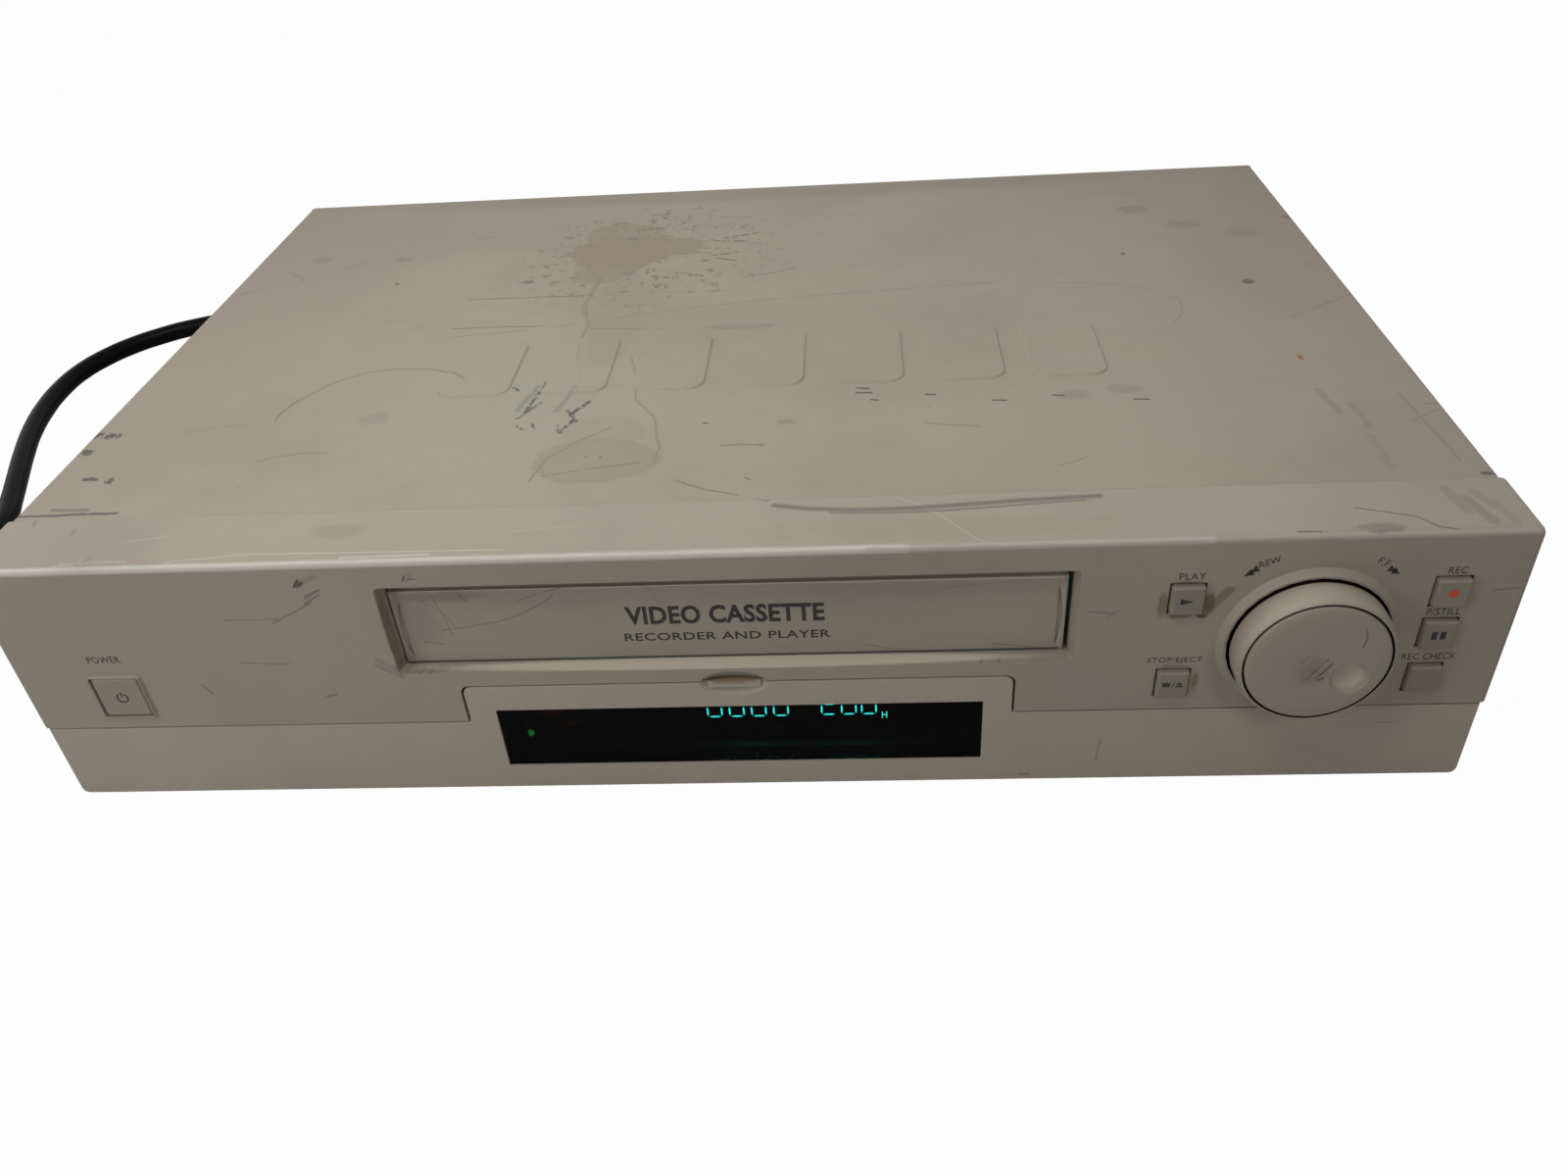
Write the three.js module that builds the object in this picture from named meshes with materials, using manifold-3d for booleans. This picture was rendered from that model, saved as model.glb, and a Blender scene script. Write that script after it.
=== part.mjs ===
// A full-width video cassette recorder: its case and front, the cassette lift and tape deck inside,
// the sockets at the back and the mains lead. Millimetres, +Z up, the front faces -Y.
// Inside the recorder group y is 0 at the front face and z is 0 at the front panel's lower edge.
import * as THREE from 'three';
import * as BufferGeometryUtils from 'three/addons/utils/BufferGeometryUtils.js';
import Module from 'manifold-3d';

const wasm = await Module();
wasm.setup();

// Clearances and facets that all pieces share
const gap = 0.3;
const runGap = 0.4;
const over = 1;
const weldTolerance = 1e-4;
const cornerSteps = 3;
const nutSides = 6;
const pinSides = 8;
const rodSides = 14;
const roundSides = 32;
const wheelSides = 24;

// Case
const panel = { width: 430, height: 88.7, depth: 24.8, wall: 2.5, edgeRound: 1.8, cornerRound: 2.6 };
const cover = { inset: 1.5, drop: 0.3, sheet: 0.8, depth: 287.5, seam: 0.5, bend: 2, low: 1, flange: 7.5 };
const pad = { x: 8, y: 114.5, count: 7, pitch: 33, width: 25, height: 42, round: 6, raise: 0.6 };
const vent = { count: 15, width: 3, pitch: 7, rearInset: 32.5, low: 34, fromTop: 22.4 };
const pan = { low: 2.8, sheet: 1, side: 16, frontY: 12, rib: 1.2, ribWidth: 10, ribInset: 60, slots: 9,
  slotWidth: 3, slotLength: 40, slotPitch: 8, slotInset: 17.7, slotY: 90 };
const foot = { height: 5.3, radius: 11, base: 9.5, inset: 30, frontY: 45, rearInset: 32.5, recess: 1.2,
  recessRadius: 4 };
const screw = { y: 150, z: 12, head: 3.6, headHigh: 1.1, shank: 1.6, length: 7, slot: 0.8, slotDeep: 0.5 };
const rear = { sheet: 0.8, inset: 0.3, foot: 6, slots: 14, slotWidth: 3, slotPitch: 7, slotInset: 152.7,
  slotHigh: 22, slotFromTop: 10.4 };

// Cassette slot and flap: the slot hangs below the top, and its edges flare out to the front
const slot = { left: -96.9, right: 95.9, fromTop: 10.4, high: 30.4, sill: 3.8, chamfer: 4.2, flareLeft: 1.2,
  flareRight: 1.2, flareLow: 0.8, flareHigh: 0.6, frontRound: 1.8, backRound: 0.6, collar: 3,
  collarDepth: 11, roof: 1.4 };
const flap = { gapLeft: 0.6, gapRight: 1.4, gapLow: 0.4, gapHigh: 4, ear: 0.8, lipUp: 2.3, front: 4.5,
  thick: 2, barrel: 1.2, barrelLong: 9, axisY: 5.6, axisDrop: 0.4, pin: 1, pinLong: 2.8, grip: 0.7,
  gripInset: 2.4, gripBow: 1.6, gripLow: 1.8, gripHigh: 3.7 };

// Drop-down door with the display window
const door = { inset: 1.4, bottom: 0.3, raised: 13.8, middle: 80.8, belowSlot: 5.1, depth: 7.5, room: 9.2,
  wall: 2.5, rim: 2, seam: 0.5, round: 3, foot: 2.4, edge: 0.8, axisY: 4.8, axisZ: 3.2, pin: 1, lug: 2,
  lugInset: 15, lugWide: 3.4, ear: 2, earHigh: 6, earDeep: 7, pinLong: 3.4, tab: 7.8, tabHigh: 2.4,
  tabSink: 0.6 };
const scoop = { x: 0, drop: 0.5, halfWidth: 10, halfHeight: 4.7, deep: 2.6 };
const glass = { left: -72.3, right: 72.3, low: 9.8, fromTop: 9.3, fit: 0.3, sink: 0.4, flange: 2.2,
  flangeThick: 1 };
const subOpening = { half: 68, low: 8, fromTop: 7 };

// Keys: places to the right of and above the knob's axis, all with the same cap
const key = { width: 9, height: 9.5, out: 1.8, gap: 0.45, round: 0.8, edge: 0.6, flange: 1.2,
  flangeThick: 1.2, stem: 2, travel: 0.8, stemEnd: 8.4 };
const keyPlaces = {
  play_button: { right: -34.4, up: 15.2 },
  stop_button: { right: -34.8, up: -14.8 },
  rec_button: { right: 34.8, up: 15.5 },
  still_button: { right: 34.6, up: 1.5 },
  rec_check_button: { right: 34.3, up: -14.5 },
};
const power = { inset: 30.2, aboveSeam: 12.9, size: 14.5, frame: 17.8, frameRound: 2.2, frameHigh: 0.8,
  frameLip: 0.3, out: 0.6, gap: 0.4 };

// Shuttle ring and jog dial
const knob = { inset: 54.8, fromTop: 35.2, bezel: 24.6, bezelTop: 22.8, bezelHigh: 1.8, hole: 22.1 };
const ring = { radius: 21.3, rimRadius: 20.3, shoulder: 8.5, out: 10.5, bore: 19.8, wallRear: 2, web: 2,
  hub: 8, hubBore: 4, hubRear: 7.2, floor: 4.5 };
const dial = { radius: 19.3, face: 18.2, rimOut: 10.4, out: 11, dish: 1.2, dishRadius: 9, back: 5, shaft: 3,
  shaftRear: 7.2, dimpleX: 9.1, dimpleZ: -5.2, dimple: 5.3, dimpleDeep: 2.4 };

// Boards behind the front
const board = { thick: 1.6, post: 2.5, postInset: 3, switchSize: 6 };
const keyBoard = { toLeft: 48.2, toRight: 46.8, down: 21, up: 29.5, front: 12.6 };
const encoder = { radius: 9, deep: 4.8 };
const displayBoard = { inset: 10, right: 88, low: 6, belowSlot: 1, front: 21 };
const tube = { half: 62, low: 10, high: 30, deep: 5.4, tip: 2, tipLong: 5 };

// Deck
const deck = { edge: 2.6, front: 32, rear: 238, low: 20, sheet: 1.4, flange: 7, leg: 8, legInset: 6 };
const bracket = { room: 3, sheet: 1.2, front: 33, rear: 142, fromTop: 4.4, foot: 6, slotWidth: 5.2 };
const basket = { inner: 94.2, sheet: 1, front: 36.5, rear: 110, sill: 0.1, room: 25.5, ledge: 14,
  windowInset: 22, pin: 2, pinUp: 8.2, pinFront: 48, pinRear: 92, stop: 9, springWide: 12, springLong: 40,
  travelIn: 25, travelDown: 25 };
const rack = { room: 0.8, sheet: 1.5, front: 50, rear: 118, low: 29, abovePin: 6, slotFront: 88.5,
  slotWide: 7, armWide: 5, toothFirst: 1, teeth: 12 };
const tooth = { addShare: 0.9, dedendShare: 1.15, rootShare: 0.33, tipShare: 0.11 };
const cam = { inset: 16.2, y: 180, module: 1.25, teeth: 32, low: 28, thick: 5, bore: 2.3, hub: 5,
  hubHigh: 2, slotRadius: 12, slotWide: 3 };
const worm = { core: 3, radius: 4.5, sink: 0.5, pitch: 3.9, ridgeShare: 0.33, turns: 4, plainTurns: 2,
  long: 27.6, shaft: 1.2, inset: 0.6, block: 3, blockHalf: 4 };
const motor = { radius: 8.5, long: 28, behind: 10, boss: 3, bossLong: 2, saddleHalf: 6 };
const reel = { x: 45, y: 78, radius: 17.5, flange: 2.6, hub: 10.5, hubHigh: 3, spline: 6.5, splineTip: 5.5,
  splineHigh: 12, fins: 3, fin: 1.4, finOut: 2.4, bore: 2.1, pin: 1.8, pinHigh: 13 };
const clutch = { x: 6, y: 96, radius: 14, low: 12.8, thick: 3, gear: 20, gearThick: 3, shaft: 2.2,
  bore: 2.6 };
const capstan = { x: 60, y: 139, flywheel: 26, low: 7.4, wheelThick: 4.6, pulley: 9, pulleyThick: 3.6,
  shaft: 1.5, high: 47, bearing: 4, bearingHigh: 8, bearingBore: 1.8, pad: 3 };
const belt = { thick: 1.2, high: 1.6 };
const pinch = { pivotX: 84, pivotY: 150, arm: 19.1, swing: 25, roller: 6.5, rollerHigh: 12.5, rollerLow: 30,
  width: 6, thick: 2, low: 25, boss: 4, pin: 1.8, bore: 2.1, axle: 1.2, axleBore: 1.5 };
const drum = { x: -8, y: 172, z: 33, tilt: 6, radius: 31, lowerDown: 6, lowerUp: 7, slit: 0.6,
  upperUp: 19.2, base: 22, rabbet: 0.5, hub: 9, hubHigh: 3, well: 25, wellDeep: 2.4, screwRadius: 17,
  screw: 2 };
const guide = { radius: 5, foot: 3.2, post: 1.5, roller: 3.1, rollerLow: 29, rollerHigh: 41, top: 43.5,
  cap: 2.6, slot: 1.9, stem: 1.4, stemDrop: 3 };
const guidePaths = {
  supply_guide: [[-28, 124], [-50, 158]],
  take_up_guide: [[12, 124], [34, 158]],
};
const tension = { pivotX: -82, pivotY: 146, endX: -60, endY: 131, width: 5, thick: 1.6, low: 23.4,
  boss: 3.6, pin: 1.6, bore: 1.9, post: 1.6, postHigh: 42, swing: 18 };
const erase = { x: -66, y: 156, width: 13, depth: 8, low: 26, high: 42, post: 2 };
const audio = { x: 46, y: 152, width: 11, depth: 9, low: 27, high: 42, post: 2 };

// Power and signal electronics: insets from the cover's sides, the rest from the front or the board's edges
const mainBoard = { room: 9, inset: 6.7, front: 40, rearInset: 5.4, armInset: 12, armDeep: 35, z: 9,
  post: 3 };
const chips = { xShare: 0.483, y: 80, width: 30, depth: 22, high: 3 };
const signalCans = { radius: 6, high: 18, count: 4, xShare: 0.798, y: 130, pitch: 16 };
const heatSink = { xShare: 0.371, y: 175, width: 40, depth: 4, high: 30 };
const shield = { xShare: 0.371, y: 30, width: 56, depth: 34, high: 14 };
const tuner = { x: -20, rearInset: 24.4, width: 46, depth: 24, high: 20 };
const powerBoard = { room: 10, inset: 6.7, front: 40, depth: 160, z: 9 };
const supply = { bulk: 11, bulkHigh: 30, bulkShare: 0.239, bulkY: 50, can: 6, canHigh: 18, cans: 3,
  canPitch: 18, canShare: 0.75, canY: 30 };
const supplySink = { xShare: 0.523, y: 90, width: 4, depth: 60, high: 34 };
const filter = { xShare: 0.227, y: 130, width: 24, depth: 20, high: 18 };
const transformer = { inset: 42.7, rearInset: 50.4, width: 58, depth: 44, high: 48, coilWidth: 34,
  coilDepth: 60, coilHigh: 32, foot: 74, footThick: 2 };

// Sockets at the back
const bnc = { inset: 150.7, pitch: 26, z: 38, flange: 7.5, flangeThick: 2, barrel: 4.8, out: 12, bore: 3.4,
  boreDeep: 9, pin: 0.7, lug: 1, lugHigh: 1.4, lugAt: 4, inner: 4.2, innerLong: 9 };
const rca = { inset: 92.7, z: 22.25, pitch: 15, rows: 2, columns: 2, width: 34, depth: 11, high: 48,
  barrel: 4.1, out: 9, bore: 1.6, boreDeep: 7 };
const terminal = { inset: 42.7, low: 22, width: 52, high: 40, out: 6, depth: 12, ways: 9, pitch: 5.4,
  hole: 1.6, holeUp: 4, holeDeep: 5, lever: 2.6, leverUp: 8, leverHigh: 4, leverOut: 1, slope: 4 };
const inlet = { inset: 62.7, z: 21.7, flangeWide: 32, flangeHigh: 24, flangeThick: 1.6, bodyWide: 27.6,
  bodyHigh: 20, bodyDeep: 17, openWide: 24.6, openHigh: 16.8, openDeep: 15.5, bladeWide: 2, bladeHigh: 4.4,
  bladeLong: 12, bladePitch: 7, bladeDrop: 2 };

// Mains lead: route points as x, y and height above the surface that the recorder stands on
const lead = { diameter: 9, sides: 8, step: 22, rest: 4.6 };
const connector = { fit: 0.3, noseIn: 14, gripWide: 27, gripHigh: 19, gripLong: 22, round: 3, relief: 6.6,
  reliefEnd: 5.2, reliefLong: 22, slitFit: 0.4, slitDeep: 13 };
const leadRoute = [
  [-150, 345, 26.9], [-148.5, 362, 25.6], [-142, 379, 21.5], [-129, 395, 15.8], [-110, 407.5, 10.2],
  [-86, 415.5, 6.4], [-60, 420.2, 4.9],
];
const coil = { x: -20, y: 365, radius: 56.5, pitch: 10, turns: 3.5, layer: 9.6, loopSteps: 24, sides: 6,
  climbStart: 1.5, climbTurns: 0.5 };
const tie = { width: 5, thick: 1, slack: 0.9, lift: 2, reachDegrees: 60, atTurn: 0.25, turnsHeld: 3 };
const runRoute = [
  [-55, 307.4, 9.6], [-86, 308.3, 5.6], [-118, 309.6, 4.6], [-152, 313.5, 4.6], [-186, 324, 4.6],
  [-217, 340, 4.6], [-247, 357, 4.6], [-276, 368.5, 4.6], [-307, 371, 4.6], [-335, 361, 4.6],
  [-348, 352, 4.6], [-359, 341, 4.6], [-368, 326, 4.6], [-373, 310, 4.6], [-374, 291, 4.6],
  [-371, 268, 4.6], [-365, 245, 4.6], [-357, 223, 4.6], [-348, 201, 4.6], [-341, 184, 4.6],
  [-335, 169, 4.9], [-331.4, 153, 6.6], [-332, 139, 9.2], [-336, 128, 10.9], [-341.5, 119.8, 11.1],
];
const plug = { relief: 5.4, reliefEnd: 6.8, reliefLong: 22, wide: 26, high: 22, long: 24, round: 4,
  bladeThick: 1.5, bladeTall: 6.3, bladeLong: 16, bladeSpread: 6.35, bladeDown: 4.6, pin: 2.4, pinLong: 19,
  pinUp: 7.2 };

// Colours, roughness and metalness of the finishes
const finishes = {
  paint: [0xb4ada3, 0.55, 0.1],
  plastic: [0xb7b1a8, 0.5, 0],
  keyPlastic: [0xbdb8b0, 0.45, 0],
  smoked: [0x120d10, 0.08, 0],
  tubeGlass: [0x0c1414, 0.1, 0],
  steel: [0xa8aaad, 0.35, 0.9],
  drumMetal: [0xc9cbcd, 0.25, 1],
  boardGreen: [0x2f5c3a, 0.6, 0],
  black: [0x17171a, 0.5, 0],
  white: [0xdedbd2, 0.5, 0],
  rubber: [0x1c1c1d, 0.8, 0],
};
const materials = Object.fromEntries(Object.entries(finishes).map(([name, [color, roughness, metalness]]) =>
  [name, new THREE.MeshStandardMaterial({ name, color, roughness, metalness })]));

// Places worked out from the sizes above
const half = panel.width / 2;
const coverHalf = half - cover.inset;
const coverInner = coverHalf - cover.sheet;
const coverTop = panel.height - cover.drop;
const rearFace = cover.depth - cover.sheet - rear.inset;
const footX = half - foot.inset;
const slotHigh = panel.height - slot.fromTop;
const slotLow = slotHigh - slot.high;
const slotRoof = slotHigh + slot.roof;
const slotFloor = slotLow + slot.sill;
const flapLeft = slot.left + flap.gapLeft;
const flapRight = slot.right - flap.gapRight;
const flapLow = slotLow + flap.gapLow;
const flapHigh = slotHigh - flap.gapHigh;
const flapAxisZ = slotHigh - flap.axisDrop;
const doorTop = slotLow - slot.flareLow - door.belowSlot;
const doorShoulder = doorTop - door.raised;
const scoopZ = doorTop - scoop.drop;
const glassHigh = doorTop - glass.fromTop;
const lugX = half - door.lugInset;
const knobX = half - knob.inset;
const knobZ = panel.height - knob.fromTop;
const powerX = -half + power.inset;
const powerZ = doorShoulder + power.aboveSeam;
const keySpots = Object.fromEntries(Object.entries(keyPlaces).map(([name, { right, up }]) =>
  [name, [knobX + right, knobZ + up]]));
const keyBoardEdges = [knobX - keyBoard.toLeft, knobX + keyBoard.toRight, knobZ - keyBoard.down,
  knobZ + keyBoard.up];
const basketLow = slotFloor + basket.sill;
const basketHigh = basketLow + basket.room;
const pinLow = basketLow + basket.pinUp;
const bracketInner = basket.inner + basket.sheet + bracket.room;
const rackInner = bracketInner + bracket.sheet + rack.room;
const deckHalf = bracketInner + bracket.sheet + bracket.foot + deck.edge;
const camX = bracketInner - cam.inset;
const wormRight = bracketInner - worm.inset;
const wormLeft = wormRight - worm.long;
const motorRight = wormLeft - motor.behind;
const motorLeft = motorRight - motor.long;
const mainRight = coverInner - mainBoard.inset;
const mainLeft = deckHalf + mainBoard.room;
const mainArm = -deckHalf + mainBoard.armInset;
const mainRear = rearFace - mainBoard.rearInset;
const powerLeft = -coverInner + powerBoard.inset;
const powerRight = -deckHalf - powerBoard.room;
const powerRear = powerBoard.front + powerBoard.depth;
const bncXs = [coverInner - bnc.inset, coverInner - bnc.inset + bnc.pitch];
const rcaX = coverInner - rca.inset;
const terminalX = coverInner - terminal.inset;
const inletX = -coverInner + inlet.inset;
const deckTop = deck.low + deck.sheet;
const panFloor = pan.low + pan.sheet;
const rearReach = rearFace + bnc.flangeThick + bnc.out;
const centreY = (rearReach - dial.out) / 2;
const camRadius = cam.module * cam.teeth / 2;
const rackPitchX = camX + camRadius;
const wormY = cam.y + camRadius + cam.module + gap + worm.radius;
const wormZ = cam.low + cam.thick / 2;

// The scene graph: one group carries the recorder, lifted on to its feet and centred front to back
const recorder = new THREE.Group();
recorder.position.set(0, -centreY, foot.height);
const root = new THREE.Group();
root.add(recorder);

function solid(geometry) {
  const bare = geometry.index ? geometry.toNonIndexed() : geometry.clone();
  bare.deleteAttribute('normal');
  bare.deleteAttribute('uv');
  const merged = BufferGeometryUtils.mergeVertices(bare, weldTolerance);
  return new wasm.Manifold(new wasm.Mesh({
    numProp: 3,
    vertProperties: new Float32Array(merged.attributes.position.array),
    triVerts: new Uint32Array(merged.index.array),
  }));
}

function join(...solids) {
  return solids.reduce((sum, next) => sum.add(next));
}

function cut(body, ...tools) {
  return tools.reduce((left, tool) => left.subtract(tool), body);
}

// Each piece is built where it lies in the recorder and hung at its pivot
function place(name, body, finish, pivot = [0, 0, 0], carrier = recorder) {
  const { vertProperties, triVerts } = body.getMesh();
  const geometry = new THREE.BufferGeometry();
  geometry.setAttribute('position', new THREE.BufferAttribute(vertProperties, 3));
  geometry.setIndex(new THREE.BufferAttribute(triVerts, 1));
  geometry.translate(-pivot[0], -pivot[1], -pivot[2]);
  geometry.computeVertexNormals();
  const mesh = new THREE.Mesh(geometry, materials[finish]);
  mesh.name = name;
  mesh.position.set(...pivot);
  carrier.add(mesh);
  return mesh;
}

function block(x0, x1, y0, y1, z0, z1) {
  const geometry = new THREE.BoxGeometry(x1 - x0, y1 - y0, z1 - z0);
  geometry.translate((x0 + x1) / 2, (y0 + y1) / 2, (z0 + z1) / 2);
  return solid(geometry);
}

// A part on a board, given by its size, its middle in x and y and its foot
function chip({ width, depth, high }, x, y, z) {
  return block(x - width / 2, x + width / 2, y - depth / 2, y + depth / 2, z, z + high);
}

// A round bar along x, y or z; centre holds the two other coordinates in order
function rod(axis, centre, radius, from, to, sides = rodSides, endRadius = radius) {
  const geometry = new THREE.CylinderGeometry(endRadius, radius, to - from, sides);
  geometry.translate(0, (from + to) / 2, 0);
  if (axis === 'x') geometry.rotateZ(-Math.PI / 2).translate(0, centre[0], centre[1]);
  if (axis === 'y') geometry.translate(centre[0], 0, centre[1]);
  if (axis === 'z') geometry.rotateX(Math.PI / 2).translate(centre[0], centre[1], 0);
  return solid(geometry);
}

// A turned piece about an axis; the profile holds radius and place along the axis, up its outer side
function turned(axis, centre, profile, sides = roundSides) {
  const geometry = new THREE.LatheGeometry(profile.map(([radius, along]) => new THREE.Vector2(radius,
    along)), sides);
  if (axis === 'y') geometry.translate(centre[0], 0, centre[1]);
  if (axis === 'z') geometry.rotateX(Math.PI / 2).translate(centre[0], centre[1], 0);
  return solid(geometry);
}

function polygon(points) {
  return new THREE.Shape(points.map(([a, b]) => new THREE.Vector2(a, b)));
}

function roundedRect(left, right, low, high, radius) {
  const shape = new THREE.Shape();
  shape.absarc(right - radius, low + radius, radius, -Math.PI / 2, 0);
  shape.absarc(right - radius, high - radius, radius, 0, Math.PI / 2);
  shape.absarc(left + radius, high - radius, radius, Math.PI / 2, Math.PI);
  shape.absarc(left + radius, low + radius, radius, Math.PI, 3 * Math.PI / 2);
  shape.closePath();
  return shape;
}

// An outline with two round ends, from one centre to another
function stadium([x0, y0], [x1, y1], radius) {
  const turn = Math.atan2(y1 - y0, x1 - x0);
  const shape = new THREE.Shape();
  shape.absarc(x1, y1, radius, turn - Math.PI / 2, turn + Math.PI / 2);
  shape.absarc(x0, y0, radius, turn + Math.PI / 2, turn + 3 * Math.PI / 2);
  shape.closePath();
  return shape;
}

function extruded(shape, depth, bevel = 0, steps = 1, curveSegments = cornerSteps) {
  return new THREE.ExtrudeGeometry(shape, {
    depth,
    curveSegments,
    bevelEnabled: bevel > 0,
    bevelThickness: bevel,
    bevelSize: bevel,
    bevelOffset: -bevel,
    bevelSegments: steps,
  });
}

// An outline in x and z, made thick from front to back
function faced(shape, front, back, curveSegments = cornerSteps) {
  return solid(extruded(shape, back - front, 0, 1, curveSegments).rotateX(Math.PI / 2).translate(0, back,
    0));
}

// The same with its front edges rounded over
function moulded(shape, front, back, bevel, steps, curveSegments = cornerSteps) {
  const geometry = extruded(shape, back - front, bevel, steps, curveSegments);
  geometry.rotateX(Math.PI / 2).translate(0, back + bevel, 0);
  const whole = solid(geometry);
  const { min, max } = whole.boundingBox();
  return whole.subtract(block(min[0] - over, max[0] + over, back, max[1] + over, min[2] - over,
    max[2] + over));
}

// An outline in x and y, made thick upwards
function flat(shape, low, high, curveSegments = cornerSteps) {
  return solid(extruded(shape, high - low, 0, 1, curveSegments).translate(0, 0, low));
}

// An outline in y and z, made thick along x
function upright(shape, left, right) {
  const turn = new THREE.Matrix4().makeBasis(
    new THREE.Vector3(0, 1, 0), new THREE.Vector3(0, 0, 1), new THREE.Vector3(1, 0, 0));
  return solid(extruded(shape, right - left).applyMatrix4(turn).translate(left, 0, 0));
}

// A funnel along y between two rounded rectangles of left, right, low and high
function funnel(frontRect, backRect, front, back, frontRound, backRound) {
  const ringOf = ([left, right, low, high], round, y) => {
    const points = [];
    for (let i = 0; i < 4 * (cornerSteps + 1); i += 1) {
      const corner = Math.floor(i / (cornerSteps + 1));
      const angle = (corner + (i % (cornerSteps + 1)) / cornerSteps) * Math.PI / 2;
      const x = corner === 0 || corner === 3 ? right - round : left + round;
      const z = corner < 2 ? high - round : low + round;
      points.push([x + round * Math.cos(angle), y, z + round * Math.sin(angle)]);
    }
    return points;
  };
  const near = ringOf(frontRect, frontRound, front);
  const far = ringOf(backRect, backRound, back);
  const n = near.length;
  const faces = [];
  for (let i = 0; i < n; i += 1) {
    const next = (i + 1) % n;
    faces.push(i, n + i, n + next, i, n + next, next);
    if (i > 1) faces.push(0, i - 1, i, n, n + i, n + i - 1);
  }
  const geometry = new THREE.BufferGeometry();
  geometry.setAttribute('position', new THREE.Float32BufferAttribute([...near, ...far].flat(), 3));
  geometry.setIndex(faces);
  return solid(geometry);
}

// The same piece on the other side; its triangles are read backwards so that they still face out
function mirrored(body) {
  const { vertProperties, triVerts } = body.getMesh();
  const geometry = new THREE.BufferGeometry();
  geometry.setAttribute('position', new THREE.BufferAttribute(vertProperties, 3));
  geometry.setIndex(Array.from(triVerts).reverse());
  return solid(geometry.scale(-1, 1, 1));
}

// A spur gear outline with straight-flanked teeth, the first tooth towards +x
function gearOutline([x, y], teeth, module) {
  const pitchRadius = module * teeth / 2;
  const root = pitchRadius - module * tooth.dedendShare;
  const tip = pitchRadius + module * tooth.addShare;
  const step = 2 * Math.PI / teeth;
  const points = [];
  for (let i = 0; i < teeth; i += 1) {
    const corners = [[root, -tooth.rootShare], [tip, -tooth.tipShare], [tip, tooth.tipShare],
      [root, tooth.rootShare]];
    for (const [radius, share] of corners) {
      points.push([x + radius * Math.cos((i + share) * step), y + radius * Math.sin((i + share) * step)]);
    }
  }
  return polygon(points);
}

// Outline of the drop door: full width, with a raised middle whose corners are round
function doorOutline(side, low, shoulder, middle, top, round, foot) {
  const shape = new THREE.Shape();
  if (foot > 0) {
    shape.absarc(-side + foot, low + foot, foot, Math.PI, Math.PI * 1.5);
    shape.absarc(side - foot, low + foot, foot, Math.PI * 1.5, Math.PI * 2);
  } else {
    shape.moveTo(-side, low);
    shape.lineTo(side, low);
  }
  shape.lineTo(side, shoulder);
  shape.lineTo(middle, shoulder);
  if (round > 0) {
    shape.absarc(middle - round, top - round, round, 0, Math.PI / 2);
    shape.absarc(-middle + round, top - round, round, Math.PI / 2, Math.PI);
  } else {
    shape.lineTo(middle, top);
    shape.lineTo(-middle, top);
  }
  shape.lineTo(-middle, shoulder);
  shape.lineTo(-side, shoulder);
  shape.closePath();
  return shape;
}

function scoopCut() {
  const geometry = new THREE.SphereGeometry(1, rodSides, pinSides);
  geometry.scale(scoop.halfWidth, scoop.deep, scoop.halfHeight).translate(scoop.x, 0, scoopZ);
  return solid(geometry);
}

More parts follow.
